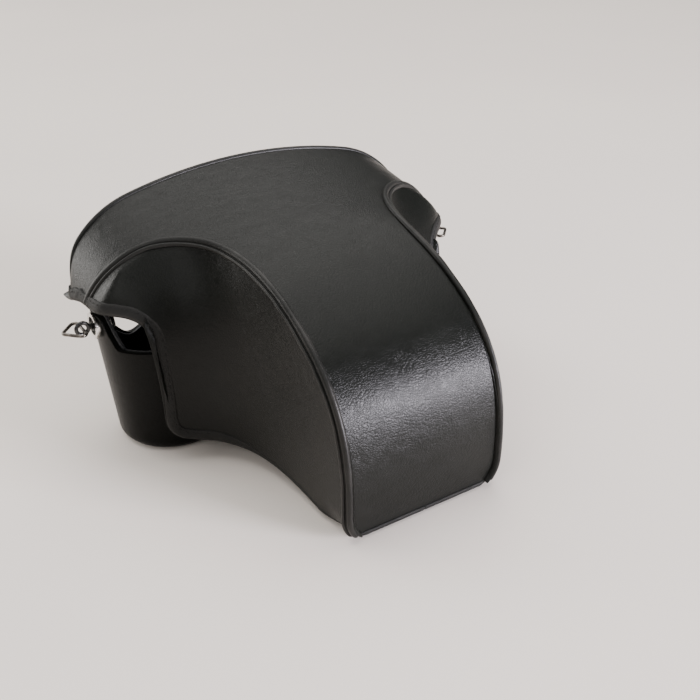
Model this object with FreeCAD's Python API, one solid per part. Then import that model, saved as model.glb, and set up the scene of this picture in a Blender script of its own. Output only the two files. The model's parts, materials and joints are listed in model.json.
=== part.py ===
"""Leather ever ready case for a 35 mm reflex camera: a hard leather lower case that screws to the
camera, and a nosed cover that drops forward off it on a leather hinge.

Frame, in millimetres: X across the case, the lens nose towards -Y, +Z up. The origin is the mouth
of the tripod socket, in the middle of the base, and z = 0 is the plane that the case stands on.
"""

import FreeCAD
import Part
import os
from math import cos, hypot, pi, radians, sin, sqrt

V = FreeCAD.Vector
os.makedirs("parts", exist_ok=True)

# Driving dimensions -------------------------------------------------------------------------
LEATHER = 2.2                 # wall leather of both halves
FELT = 0.8                    # lining glued inside both halves
GAP = 0.4                     # clear space between pieces that move past each other

# lower case
LOWER_RIM_HALF_WIDTH = 72.0   # at the height of the end ears
LOWER_BASE_HALF_WIDTH = 67.4
LOWER_RIM_HALF_DEPTH = 22.2
LOWER_BASE_HALF_DEPTH = 20.6
EAR_TOP = 54.4                # the ends rise to carry the strap lugs
FOOT_RADIUS = 4.0             # moulded edge round the base
FRONT_CUTOUT_HALF_WIDTH = 44.0
FRONT_CUTOUT_FLOOR = 15.0
BACK_DIP = 33.0
BACK_TONGUE_TOP = 49.5
BACK_DIP_X = 54.0
END_RIM = 42.5
EAR_HALF_DEPTH = 5.2
BOARD = 4.6                   # stiffening board on the floor, thick enough to bury the screw
FLOOR_Z = LEATHER + BOARD + FELT

# cover
COVER_HALF_WIDTH = 76.6
COVER_BACK_Y = 24.2
COVER_FRONT_Y = -26.2
COVER_EDGE_Z = 58.5           # its lower edge at the ends and the back
COVER_TOP_Z = 93.0
ARCH_RADIUS = 186.0           # the top seen from the front
SHOULDER_RADIUS = 40.0
ROOF_FALL = 0.17              # the roof falls towards the front, per mm of depth
NOSE_HALF_WIDTH = 30.6
NOSE_FRONT_Y = -102.0
SIDE_EDGE_X = 59.5            # the front panels end here, beside the bare ends of the lower case
SIDE_EDGE_Z = 9.0
SIDE_CORNER_RADIUS = 9.0
NOSE_LIFT = 0.6               # lower edge at the tip of the nose
NOSE_FLOOR_RISE = 1.6         # the floor panel stands this far up inside the nose
PIPING_HALF_WIDTH = 1.5
PIPING_PROUD = 1.1
BINDING_WIDTH = 4.5
BINDING_SKIN = 0.7

# metal parts
STUD_RADIUS = 3.175           # 1/4 inch camera screw
SOCKET_RADIUS = 3.2           # tripod socket in its head
NECK_RADIUS = 2.4             # plain neck that keeps the screw captive in the cup
SCREW_HEAD_RADIUS = 9.5
SCREW_HEAD_HEIGHT = 6.2
SOCKET_DEPTH = 4.6
SCREW_CUP_RADIUS = 13.6
SCREW_CUP_WALL = 0.8
STUD_TOP = 12.8
KNURL_COUNT = 40
LUG_Z = 49.6
LUG_X = 76.4                  # centre of the eye that the strap ring hangs in
EYELET_HOLE = 3.4
EYELET_WALL = 0.5
EYELET_FLANGE = 4.9
RING_WIRE = 0.6               # radius of the ring's wire
RING_HALF_BASE = 8.0
RING_REACH = 7.4
RING_CORNER = 1.5             # radius that its corners bend to

# hinge and closing tab
HINGE_Y = -24.3
HINGE_Z = 1.6
HINGE_HALF_WIDTH = 21.0
TAB_HALF_WIDTH = 8.5
TAB_THICKNESS = 2.0
TAB_FOOT_Z = 18.0
TAB_HINGE_Z = 36.8
TAB_HINGE_Y = 24.0              # at the tab's outer face, where it folds
TAB_TOP = 77.0
SNAP_Z = 68.5
TAB_Y = COVER_BACK_Y + BINDING_SKIN + GAP   # inner face of the closed tab

# limits that lie outside every piece, for cutting blocks
FAR_X = 95.0
FAR_FRONT = -130.0
FAR_BACK = 60.0
FAR_LOW = -20.0
FAR_HIGH = 130.0


def export(name, shape):
    """Write one piece to its own STEP file."""
    solids = shape.Solids
    body = solids[0] if len(solids) == 1 else Part.Compound(solids)
    assert solids and all(s.isValid() for s in solids), name
    body.exportStep("parts/" + name + ".step")
    print("%-26s solids %d volume %9.1f" % (name, len(solids), body.Volume))


def fused(shapes):
    """Join shapes that touch into one solid."""
    first, rest = shapes[0], shapes[1:]
    return (first.fuse(rest) if rest else first).removeSplitter()


def block(x0, x1, y0, y1, z0, z1):
    """An upright box between two corners."""
    return Part.makeBox(x1 - x0, y1 - y0, z1 - z0, V(x0, y0, z0))


def rod(radius, start, end):
    """A round bar between two points."""
    run = end - start
    return Part.makeCylinder(radius, run.Length, start, run)


def prism(points, plane, low, high):
    """Extrude a closed outline of 2-D points along the axis that its plane leaves out."""
    place = {"xz": lambda a, b: V(a, low, b), "yz": lambda a, b: V(low, a, b), "xy": lambda a, b: V(a, b, low)}
    run = {"xz": V(0, high - low, 0), "yz": V(high - low, 0, 0), "xy": V(0, 0, high - low)}
    corners = [place[plane](a, b) for a, b in points]
    return Part.Face(Part.makePolygon(corners + corners[:1])).extrude(run[plane])


def smooth(points):
    """A smooth edge through the points."""
    curve = Part.BSplineCurve()
    curve.interpolate(points)
    return curve.toShape()


def offset(points, grow):
    """Move an open run of 2-D points sideways, to its left where grow is positive."""
    moved = []
    for i, (a, b) in enumerate(points):
        a0, b0 = points[max(i - 1, 0)]
        a1, b1 = points[min(i + 1, len(points) - 1)]
        size = hypot(a1 - a0, b1 - b0)
        moved.append((a - grow * (b1 - b0) / size, b + grow * (a1 - a0) / size))
    return moved


def mirrored(shape):
    """The same shape on the other side of the case."""
    return shape.mirror(V(0, 0, 0), V(1, 0, 0))


# Cover form ---------------------------------------------------------------------------------
# Plan of the left side, from the middle of the back to the tip of the nose: where the upright
# walls stand, and where the side panels meet the top band.
WALL_PLAN = [(-56.0, COVER_BACK_Y), (-68.3, 21.8), (-75.2, 13.5), (-COVER_HALF_WIDTH, 3.0), (-74.6, -9.5),
             (-68.6, -19.6), (-60.5, -25.2), (-51.5, -28.6), (-43.0, -34.5), (-36.0, -45.0),
             (-32.0, -60.0), (-NOSE_HALF_WIDTH, -78.0), (-NOSE_HALF_WIDTH, -112.0)]
BAND_PLAN = [(-56.0, COVER_BACK_Y), (-68.3, 21.8), (-75.2, 13.5), (-COVER_HALF_WIDTH, 4.0), (-72.6, -1.2),
             (-64.0, -5.4), (-54.0, -9.6), (-44.5, -15.8), (-37.0, -24.6), (-32.6, -37.0),
             (-30.8, -54.0), (-NOSE_HALF_WIDTH, -76.0), (-NOSE_HALF_WIDTH, -112.0)]
# How far the side has leaned in from the wall plan to the band plan, at each height.
SIDE_LEAN = [(-12.0, 0.0), (42.0, 0.0), (53.0, 0.08), (62.0, 0.27), (70.0, 0.56), (76.0, 0.84),
             (80.5, 1.0), (118.0, 1.0)]
# Top of the nose seen from the side, from the roof to the tip.
NOSE_TOP = [(12.0, 102.3), (-8.0, 94.6), (-26.0, 87.8), (-44.0, 80.9), (-60.0, 75.0), (-75.0, 68.0),
            (-88.0, 58.8), (-97.0, 46.8), (-101.2, 33.0), (NOSE_FRONT_Y, 18.0), (-100.8, 3.0), (-98.5, -12.0)]


def plan_wire(lean, z, grow):
    """Closed plan of the cover at one height."""
    left = [(w[0] + (b[0] - w[0]) * lean, w[1] + (b[1] - w[1]) * lean) for w, b in zip(WALL_PLAN, BAND_PLAN)]
    left = offset(left, -grow)
    right = [(-x, y) for x, y in reversed(left)]
    corner = V(left[0][0], left[0][1], z)
    sides = [smooth([V(x, y, z) for x, y in run]) for run in (left, right)]
    tip = Part.makeLine(V(left[-1][0], left[-1][1], z), V(right[0][0], right[0][1], z))
    back = Part.makeLine(V(right[-1][0], right[-1][1], z), corner)
    return Part.Wire([sides[0], tip, sides[1], back])


def side_form(grow):
    """Everything inside the cover's upright walls and its leaning sides."""
    wires = [plan_wire(lean, z, grow) for z, lean in SIDE_LEAN]
    spans = [Part.makeLoft([low, high], True, True) for low, high in zip(wires, wires[1:])]
    return fused(spans)


def roof_form(grow):
    """Everything under the arched roof, which falls towards the front."""
    radius = ARCH_RADIUS + grow
    corner = SHOULDER_RADIUS + grow
    half = COVER_HALF_WIDTH + grow
    centre_z = COVER_TOP_Z - ARCH_RADIUS
    # the shoulder arc touches the end wall and the arch
    corner_x = half - corner
    corner_z = centre_z + sqrt((radius - corner) ** 2 - corner_x ** 2)
    reach = radius / (radius - corner)
    meet = (corner_x * reach, centre_z + (corner_z - centre_z) * reach)
    lean = pi / 4
    mid = (corner_x + corner * cos(lean), corner_z + corner * sin(lean))
    y = 60.0
    rise = ROOF_FALL * (y - COVER_BACK_Y)

    def at(x, z):
        return V(x, y, z + rise)

    edges = [Part.makeLine(at(-half, -40), at(half, -40)),
             Part.makeLine(at(half, -40), at(half, corner_z)),
             Part.Arc(at(half, corner_z), at(*mid), at(*meet)).toShape(),
             Part.Arc(at(*meet), at(0, centre_z + radius), at(-meet[0], meet[1])).toShape(),
             Part.Arc(at(-meet[0], meet[1]), at(-mid[0], mid[1]), at(-half, corner_z)).toShape(),
             Part.makeLine(at(-half, corner_z), at(-half, -40))]
    run = -190.0
    return Part.Face(Part.Wire(edges)).extrude(V(0, run, run * ROOF_FALL))


def nose_form(grow):
    """Everything behind and under the long curve from the roof to the tip of the nose."""
    points = [V(-FAR_X, y, z) for y, z in offset(NOSE_TOP, -grow)]
    top = smooth(points)
    rest = [V(-FAR_X, FAR_BACK, points[-1].z), V(-FAR_X, FAR_BACK, FAR_HIGH), V(-FAR_X, points[0].y, FAR_HIGH)]
    behind = Part.makePolygon([points[-1]] + rest + [points[0]])
    return Part.Face(Part.Wire([top] + behind.Edges)).extrude(V(2 * FAR_X, 0, 0))


def cover_form(grow):
    """The closed outer form of the cover, grown or shrunk all round."""
    return side_form(grow).common(roof_form(grow)).common(nose_form(grow))


def band_region(shift):
    """Plan region behind the line where the side panels meet the top band, moved outwards."""
    left = offset([(-90.0, 5.0), (-80.0, 1.5)] + BAND_PLAN[4:], -shift)
    points = [V(x, y, -20) for x, y in left]
    ends = [V(-points[-1].x, points[-1].y, -20), V(-points[0].x, points[0].y, -20)]
    right = [V(-p.x, p.y, -20) for p in reversed(points)]
    outline = [smooth(points), Part.makeLine(points[-1], ends[0]), smooth(right),
               Part.makeLine(ends[1], V(90, 60, -20)), Part.makeLine(V(90, 60, -20), V(-90, 60, -20)),
               Part.makeLine(V(-90, 60, -20), points[0])]
    return Part.Face(Part.Wire(outline)).extrude(V(0, 0, 160))


def edge_region(grow):
    """Where the cover has leather: above its lower edge, which drops beside the lens nose."""
    x = SIDE_EDGE_X + grow
    low = SIDE_EDGE_Z - grow
    high = COVER_EDGE_Z - grow
    outer = SIDE_CORNER_RADIUS - grow        # arc at the upper, inward corner
    inner = SIDE_CORNER_RADIUS + grow        # arc at the lower, outward corner
    k = cos(pi / 4)

    def side(s):
        upper_mid = (s * (x + outer - outer * k), high - outer + outer * k)
        lower_mid = (s * (x - inner + inner * k), low + inner - inner * k)
        return [((s * FAR_X, FAR_HIGH), (s * FAR_X, high)),
                ((s * FAR_X, high), (s * (x + outer), high)),
                ((s * (x + outer), high), upper_mid, (s * x, high - outer)),
                ((s * x, high - outer), (s * x, low + inner)),
                ((s * x, low + inner), lower_mid, (s * (x - inner), low))]

    right = side(1)
    left = [tuple(reversed(piece)) for piece in reversed(side(-1))]
    pieces = right + [(right[-1][-1], left[0][0])] + left + [(left[-1][-1], right[0][0])]
    edges = []
    for piece in pieces:
        ends = [V(a, FAR_FRONT, b) for a, b in piece]
        edges.append(Part.Arc(*ends).toShape() if len(ends) == 3 else Part.makeLine(*ends))
    front = Part.Face(Part.Wire(edges)).extrude(V(0, -FAR_FRONT, 0))
    # the lower edge slopes down to the tip of the nose
    slope = (SIDE_EDGE_Z - NOSE_LIFT) / (COVER_FRONT_Y - NOSE_FRONT_Y)
    tip_z = NOSE_LIFT - grow - slope * 30
    root_z = SIDE_EDGE_Z - grow
    under = prism([(NOSE_FRONT_Y - 30, tip_z), (COVER_FRONT_Y, root_z), (COVER_FRONT_Y, 60), (NOSE_FRONT_Y - 30, 60)],
                  "yz", -NOSE_HALF_WIDTH - 26, NOSE_HALF_WIDTH + 26)
    back = block(-FAR_X, FAR_X, 0, FAR_BACK, high, FAR_HIGH)
    return front.fuse([under, back])


def shell_between(outer, inner):
    """Space between two sizes of the cover form."""
    return cover_form(outer).cut(cover_form(inner))


# Cover pieces -------------------------------------------------------------------------------
BACK_SEAM_Y = 21.2            # the band ends and the back panel begins here
WELT_DEPTH = LEATHER + 1.0    # how far the piping reaches in from the crease


def nose_floor_z(y):
    """Height of the underside of the nose's floor panel."""
    slope = (SIDE_EDGE_Z - NOSE_LIFT) / (COVER_FRONT_Y - NOSE_FRONT_Y)
    return SIDE_EDGE_Z + NOSE_FLOOR_RISE + slope * (y - COVER_FRONT_Y)


def floor_slab(low, high, near, far):
    """A slab that lies along the nose floor, between two heights above its underside."""
    outline = [(far, nose_floor_z(far) + low), (near, nose_floor_z(near) + low),
               (near, nose_floor_z(near) + high), (far, nose_floor_z(far) + high)]
    return prism(outline, "yz", -SIDE_EDGE_X + 2, SIDE_EDGE_X - 2)


def snap_stud():
    """Stud on the back panel, set through leather and lining."""
    back = COVER_BACK_Y
    turned = [(4.5, back, 0.5), (1.8, back + 0.5, 2.1), (1.2, back - LEATHER - FELT - 0.1, LEATHER + FELT + 0.1),
              (4.0, back - LEATHER - FELT - 0.7, 0.6)]
    return fused([Part.makeCylinder(r, length, V(0, y, SNAP_Z), V(0, 1, 0)) for r, y, length in turned])


def cover_leaf():
    """The part of the hinge strap that goes with the cover: up from the fold and along the floor."""
    t = 1.4
    under = [(HINGE_Y - 0.9, HINGE_Z + 0.1), (HINGE_Y - 6.0, nose_floor_z(HINGE_Y - 6.0) - t),
             (HINGE_Y - 20.0, nose_floor_z(HINGE_Y - 20.0) - t)]
    over = [(HINGE_Y - 20.0, nose_floor_z(HINGE_Y - 20.0)), (HINGE_Y - 5.2, nose_floor_z(HINGE_Y - 5.2)),
            (HINGE_Y - 0.9, HINGE_Z + 0.9)]
    return prism(under + over, "yz", -HINGE_HALF_WIDTH, HINGE_HALF_WIDTH)


def cover_leaf_rivets():
    """Rivets through the hinge strap and the nose floor."""
    y = HINGE_Y - 13.0
    z = nose_floor_z(y)
    rivets = []
    for x in (-14.0, 0.0, 14.0):
        shank = Part.makeCylinder(1.2, 5.0, V(x, y, z - 1.9))
        heads = [Part.makeCylinder(2.6, 0.5, V(x, y, h)) for h in (z - 2.0, z + 2.6)]
        rivets.append(fused([shank] + heads))
    return rivets


def make_cover():
    """Leather, piping, binding and lining of the cover, its snap stud and its hinge leaf."""
    leather = shell_between(0.0, -LEATHER)
    welt = shell_between(PIPING_PROUD, -LEATHER)
    tape = shell_between(BINDING_SKIN, -LEATHER - FELT - BINDING_SKIN)
    felt = shell_between(-LEATHER, -LEATHER - FELT)
    room = cover_form(-LEATHER - FELT)
    edge = edge_region(0.0)
    inside_edge = edge_region(-BINDING_WIDTH)
    within = band_region(-PIPING_HALF_WIDTH)
    beyond = band_region(PIPING_HALF_WIDTH)
    deep = roof_form(-WELT_DEPTH).common(nose_form(-WELT_DEPTH))
    strip = beyond.cut(within).cut(deep)
    seam_low, seam_high = BACK_SEAM_Y - PIPING_HALF_WIDTH, BACK_SEAM_Y + PIPING_HALF_WIDTH
    behind = block(-FAR_X, FAR_X, seam_low, FAR_BACK, FAR_LOW, FAR_HIGH)
    seam = block(-FAR_X, FAR_X, seam_low, seam_high, FAR_LOW, FAR_HIGH).cut(roof_form(-WELT_DEPTH))
    ahead = block(-FAR_X, FAR_X, FAR_FRONT, seam_low, FAR_LOW, FAR_HIGH)
    nose_room = block(-FAR_X, FAR_X, FAR_FRONT, COVER_FRONT_Y, FAR_LOW, FAR_HIGH)
    nose_side = roof_form(-LEATHER).common(nose_form(-LEATHER)).common(nose_room)
    left = block(-FAR_X, 0, FAR_FRONT, FAR_BACK, FAR_LOW, FAR_HIGH)
    right = block(0, FAR_X, FAR_FRONT, FAR_BACK, FAR_LOW, FAR_HIGH)

    stud = snap_stud()
    leaf = cover_leaf()
    rivets = cover_leaf_rivets()
    skin = leather.common(inside_edge)
    band = skin.common(within).common(ahead).cut(nose_side)
    export("top_band", band)
    export("back_panel", skin.common(behind).cut([seam, stud]))
    panels = skin.common(ahead).cut(band).cut(strip)
    piping = welt.common(inside_edge).common(strip).common(ahead)
    binding = tape.common(edge.cut(inside_edge)).cut(leaf)
    for name, half in (("left", left), ("right", right)):
        export(name + "_side_panel", panels.common(half))
        export(name + "_piping", piping.common(half))
        export(name + "_edge_binding", binding.common(half))
    export("back_piping", welt.common(inside_edge).common(seam))
    export("cover_lining", felt.common(inside_edge).cut(stud))
    export("snap_stud", stud)
    floor = room.common(floor_slab(0.0, 2.4, HINGE_Y - 0.5, FAR_FRONT)).cut(tape).cut(leaf)
    export("nose_floor", floor.cut(rivets))
    export("hinge_leaf_cover", leaf.cut(rivets))
    export("cover_hinge_rivets", Part.Compound(rivets))


# Lower case ---------------------------------------------------------------------------------
def stadium(half_width, half_depth, z):
    """Plan of the lower case at one height: straight sides and round ends."""
    c = half_width - half_depth
    d = half_depth
    return Part.Wire([Part.makeLine(V(-c, -d, z), V(c, -d, z)),
                      Part.Arc(V(c, -d, z), V(c + d, 0, z), V(c, d, z)).toShape(),
                      Part.makeLine(V(c, d, z), V(-c, d, z)),
                      Part.Arc(V(-c, d, z), V(-c - d, 0, z), V(-c, -d, z)).toShape()])


def lower_wall(z):
    """Outer half width and half depth of the lower case at a height, before its foot rounds in."""
    share = z / EAR_TOP
    return (LOWER_BASE_HALF_WIDTH + (LOWER_RIM_HALF_WIDTH - LOWER_BASE_HALF_WIDTH) * share,
            LOWER_BASE_HALF_DEPTH + (LOWER_RIM_HALF_DEPTH - LOWER_BASE_HALF_DEPTH) * share)


def lower_form(inset, top=EAR_TOP + 4.0):
    """The lower case's outer form, or the hollow that lies inset from it."""
    foot = max(FOOT_RADIUS - inset, 0.6)
    levels = []
    for step in range(4):
        turn = radians(30 * step)
        levels.append((inset + foot * (1 - cos(turn)), foot * (1 - sin(turn))))
    levels.append((top, 0.0))
    wires = []
    for z, tuck in levels:
        half_width, half_depth = lower_wall(z)
        wires.append(stadium(half_width - inset - tuck, half_depth - inset - tuck, z))
    return fused([Part.makeLoft([low, high], True, True) for low, high in zip(wires, wires[1:])])


def rim_region():
    """Space below the lower case's rim: ears at the ends, a lens cut-out in front, a dipped back."""
    x, floor, r = FRONT_CUTOUT_HALF_WIDTH, FRONT_CUTOUT_FLOOR, 8.0
    k = r * (1 - cos(pi / 4))

    def at(a, b):
        return V(a, -40, b)

    half = [((90, END_RIM), (x + r, END_RIM)),
            ((x + r, END_RIM), (x + k, END_RIM - k), (x, END_RIM - r)),
            ((x, END_RIM - r), (x, floor + r)),
            ((x, floor + r), (x - k, floor + k), (x - r, floor))]
    edges = []
    for sign in (1, -1):
        for piece in half:
            ends = [at(sign * a, b) for a, b in piece]
            edges.append(Part.Arc(*ends).toShape() if len(ends) == 3 else Part.makeLine(*ends))
    edges += [Part.makeLine(at(r - x, floor), at(x - r, floor)),
              Part.makeLine(at(-90, END_RIM), at(-90, -1)),
              Part.makeLine(at(-90, -1), at(90, -1)),
              Part.makeLine(at(90, -1), at(90, END_RIM))]
    front = Part.Face(Part.Wire(Part.__sortEdges__(edges))).extrude(V(0, 40, 0))
    crest = [(-90, END_RIM), (-70, END_RIM), (-61, 38.5), (-BACK_DIP_X, BACK_DIP), (-46, 36.5), (-36, 43.5),
             (-22, 48.5), (0, BACK_TONGUE_TOP)]
    crest += [(-a, b) for a, b in reversed(crest[:-1])]
    top = smooth([V(a, 0, b) for a, b in crest])
    under = Part.makePolygon([V(90, 0, END_RIM), V(90, 0, -1), V(-90, 0, -1), V(-90, 0, END_RIM)])
    back = Part.Face(Part.Wire([top] + under.Edges)).extrude(V(0, 40, 0))
    ear = [(-EAR_HALF_DEPTH - 7, END_RIM - 4), (-EAR_HALF_DEPTH, EAR_TOP), (EAR_HALF_DEPTH, EAR_TOP),
           (EAR_HALF_DEPTH + 7, END_RIM - 4)]
    ears = [prism(ear, "yz", low, high) for low, high in ((-90, -60), (60, 90))]
    return front.fuse([back] + ears)


def tab_rivets():
    """Rivets that hold the closing tab's foot to the back wall."""
    rivets = []
    for x in (-4.5, 4.5):
        start = lower_wall(24.0)[1] - LEATHER - FELT - 0.6
        run = TAB_HINGE_Y + 0.55 - start
        shank = Part.makeCylinder(1.1, run, V(x, start, 24.0), V(0, 1, 0))
        heads = [Part.makeCylinder(2.4, 0.6, V(x, y, 24.0), V(0, 1, 0)) for y in (start, start + run - 0.6)]
        rivets.append(fused([shank] + heads))
    return rivets


def hinge_rivets():
    """Flush rivets that hold the hinge strap under the base."""
    rivets = []
    for x in (-14.0, 0.0, 14.0):
        shank = Part.makeCylinder(1.2, LEATHER - 0.2, V(x, -18.4, 0.2))
        rivets.append(fused([shank, Part.makeCylinder(2.6, 0.5, V(x, -18.4, 0.2))]))
    return rivets


def eyelet(sign):
    """Rolled eyelet through one ear, and the hole that it needs there."""
    outer = lower_wall(LUG_Z)[0] + 0.5
    inner = outer - 0.5 - LEATHER - FELT - 1.1
    direction = V(sign, 0, 0)

    def disc(radius, low, high):
        return Part.makeCylinder(radius, high - low, V(sign * low, 0, LUG_Z), direction)

    body = fused([disc(EYELET_HOLE + EYELET_WALL, inner, outer), disc(EYELET_FLANGE, outer, outer + 0.7),
                  disc(EYELET_FLANGE, inner - 0.5, inner)])
    ear_hole = disc(EYELET_HOLE + EYELET_WALL + 0.1, inner - 6, outer + 6)
    return body.cut(disc(EYELET_HOLE, inner - 2, outer + 2)), ear_hole


def strap_lug(sign):
    """Eye on a shank, held behind the eyelet by its flat head."""
    start = lower_wall(LUG_Z)[0] - LEATHER - FELT - 2.2
    eye = Part.makeTorus(2.2, 0.75, V(sign * LUG_X, 0, LUG_Z), V(0, 1, 0))
    shank = rod(0.95, V(sign * (start - 0.5), 0, LUG_Z), V(sign * (LUG_X - 2.2), 0, LUG_Z))
    head = Part.makeCylinder(4.4, 0.8, V(sign * (start - 0.8), 0, LUG_Z), V(sign, 0, 0))
    return fused([eye, shank, head])


def strap_ring(sign):
    """Closed three-sided wire ring with round corners, lying outwards from the eye."""
    corners = [V(0, -RING_HALF_BASE, 0), V(RING_REACH, 0, 0), V(0, RING_HALF_BASE, 0)]
    bend = RING_CORNER
    arcs = []
    for i, corner in enumerate(corners):
        to_last = (corners[i - 1] - corner).normalize()
        to_next = (corners[(i + 1) % 3] - corner).normalize()
        half_angle = to_last.getAngle(to_next) / 2
        reach = bend / sin(half_angle) * cos(half_angle)
        middle = (to_last + to_next).normalize()
        centre = corner + middle * (bend / sin(half_angle))
        arcs.append((corner + to_last * reach, centre - middle * bend, corner + to_next * reach))
    edges = []
    for i, (start, mid, end) in enumerate(arcs):
        edges += [Part.Arc(start, mid, end).toShape(), Part.makeLine(end, arcs[(i + 1) % 3][0])]
    path = Part.Wire(edges)
    first = edges[0].valueAt(edges[0].FirstParameter)
    along = edges[0].tangentAt(edges[0].FirstParameter)
    section = Part.Wire(Part.makeCircle(RING_WIRE, first, along))
    ring = path.makePipeShell([section], True, True)
    ring.translate(V(LUG_X, 0, LUG_Z))
    return ring if sign > 0 else mirrored(ring)


def screw_cup():
    """Metal cup pressed into the base, with a small hole that keeps the screw captive."""
    top = LEATHER + BOARD + 0.6
    hollow = Part.makeCylinder(SCREW_CUP_RADIUS - SCREW_CUP_WALL, top - 0.4 - SCREW_CUP_WALL, V(0, 0, 0.4))
    body = Part.makeCylinder(SCREW_CUP_RADIUS, top - 0.4, V(0, 0, 0.4))
    return body.cut([hollow, Part.makeCylinder(NECK_RADIUS + 0.3, 12, V(0, 0, 0))])


def camera_screw():
    """Knurled head with a tripod socket under it and the camera's stud above."""
    head = Part.makeCylinder(SCREW_HEAD_RADIUS, SCREW_HEAD_HEIGHT)
    grooves = []
    for i in range(KNURL_COUNT):
        turn = 2 * pi * i / KNURL_COUNT
        grooves.append(Part.makeCylinder(0.35, SCREW_HEAD_HEIGHT - 1.6,
                                         V(SCREW_HEAD_RADIUS * cos(turn), SCREW_HEAD_RADIUS * sin(turn), 0.8)))
    neck_top = LEATHER + BOARD + 1.1
    neck = Part.makeCylinder(NECK_RADIUS, neck_top - SCREW_HEAD_HEIGHT + 1, V(0, 0, SCREW_HEAD_HEIGHT - 0.5))
    stud = Part.makeCylinder(STUD_RADIUS, STUD_TOP - neck_top - 0.6, V(0, 0, neck_top))
    tip = Part.makeCone(STUD_RADIUS, STUD_RADIUS - 0.6, 0.6, V(0, 0, STUD_TOP - 0.6))
    socket = Part.makeCylinder(SOCKET_RADIUS, SOCKET_DEPTH, V(0, 0, 0))
    return fused([head, neck, stud, tip]).cut([socket] + grooves)


def make_lower_case():
    """Leather tray, lining, base board, screw cup, ears' metalwork and the hinge's fixed leaf."""
    rim = rim_region()
    hollow = lower_form(LEATHER)
    below = block(-90, 90, -40, 40, -5, FLOOR_Z)
    cup_hole = Part.makeCylinder(SCREW_CUP_RADIUS, FLOOR_Z + 2, V(0, 0, -1))
    eyelets = {"left": eyelet(-1), "right": eyelet(1)}
    ear_holes = [hole for _, hole in eyelets.values()]
    rivets = tab_rivets()
    base_rivets = hinge_rivets()
    leaf = prism([(HINGE_Y + 0.7, HINGE_Z - 0.1), (HINGE_Y + 3.2, 0.1), (-14.5, 0.1), (-14.5, 1.5),
                  (HINGE_Y + 3.2, 1.5), (HINGE_Y + 0.7, HINGE_Z + 0.4)], "yz",
                 -HINGE_HALF_WIDTH, HINGE_HALF_WIDTH)
    tray = lower_form(0.0).cut(hollow).common(rim)
    export("lower_case_shell", tray.cut([cup_hole, leaf] + ear_holes + rivets + base_rivets))
    felt = hollow.cut(lower_form(LEATHER + FELT)).cut(below).common(rim)
    export("lower_case_lining", felt.cut(ear_holes + rivets))
    board = hollow.common(block(-90, 90, -40, 40, LEATHER, LEATHER + BOARD))
    export("base_board", board.cut(cup_hole))
    pad = hollow.common(block(-90, 90, -40, 40, LEATHER + BOARD, FLOOR_Z))
    export("floor_pad", pad.cut(cup_hole))
    export("screw_cup", screw_cup())
    export("camera_screw", camera_screw())
    export("hinge_leaf_lower", leaf.cut(base_rivets))
    export("base_hinge_rivets", Part.Compound(base_rivets))
    for name, sign in (("left", -1), ("right", 1)):
        export(name + "_eyelet", eyelets[name][0])
        export(name + "_strap_lug", strap_lug(sign))
        export(name + "_strap_ring", strap_ring(sign))
    wall_y = lower_wall(TAB_HINGE_Z)[1] + 0.1
    face_y = TAB_HINGE_Y - 0.05
    foot = prism([(wall_y, TAB_FOOT_Z), (face_y, TAB_FOOT_Z), (face_y, TAB_HINGE_Z - 0.5),
                  (wall_y, TAB_HINGE_Z - 0.5)], "yz", -TAB_HALF_WIDTH, TAB_HALF_WIDTH)
    export("tab_foot", foot.cut(rivets))
    export("tab_rivets", Part.Compound(rivets))


# Closing tab --------------------------------------------------------------------------------
def make_closing_tab():
    """Leather tab on the back, with the socket half of its snap."""
    t = TAB_THICKNESS
    y0, y1 = lower_wall(TAB_HINGE_Z)[1] + 0.3, TAB_Y
    bend = COVER_EDGE_Z - 3.0
    strip = prism([(y0, TAB_HINGE_Z + 0.3), (y1, bend), (y1, TAB_TOP), (y1 + t, TAB_TOP), (y1 + t, bend),
                   (y0 + t, TAB_HINGE_Z + 0.3)], "yz", -TAB_HALF_WIDTH, TAB_HALF_WIDTH)
    tip = Part.makeCylinder(TAB_HALF_WIDTH, 30, V(0, 15, TAB_TOP - TAB_HALF_WIDTH), V(0, 1, 0))
    strip = strip.common(tip.fuse(block(-20, 20, 15, 45, 0, TAB_TOP - TAB_HALF_WIDTH)))

    def disc(radius, low, high):
        return Part.makeCylinder(radius, high - low, V(0, low, SNAP_Z), V(0, 1, 0))

    socket = fused([disc(3.0, y1, y1 + t), disc(4.2, y1 - 0.3, y1)]).cut(disc(2.15, y1 - 1, y1 + t + 1))
    dome_radius = 14.0
    dome = Part.makeSphere(dome_radius, V(0, y1 + t + 1.7 - dome_radius, SNAP_Z))
    cap = disc(6.2, y1 + t, y1 + t + 3).common(dome)
    export("closing_tab", strip.cut(disc(3.0, y1 - 1, y1 + t + 1)))
    export("snap_socket", socket)
    export("snap_cap", cap)


make_cover()
make_lower_case()
make_closing_tab()
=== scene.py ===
"""Visual model of a leather ever-ready case: cover with a lens nose on a low tray.

Lengths are millimetres until a mesh is made, and metres in Blender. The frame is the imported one:
X along the case, Y from front to back, Z up, with the camera screw's axis at the origin.
"""
import json
import logging
import math
from dataclasses import dataclass, field
from enum import Enum

import bmesh
import bpy
import numpy as np
from mathutils import Matrix, Vector

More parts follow.
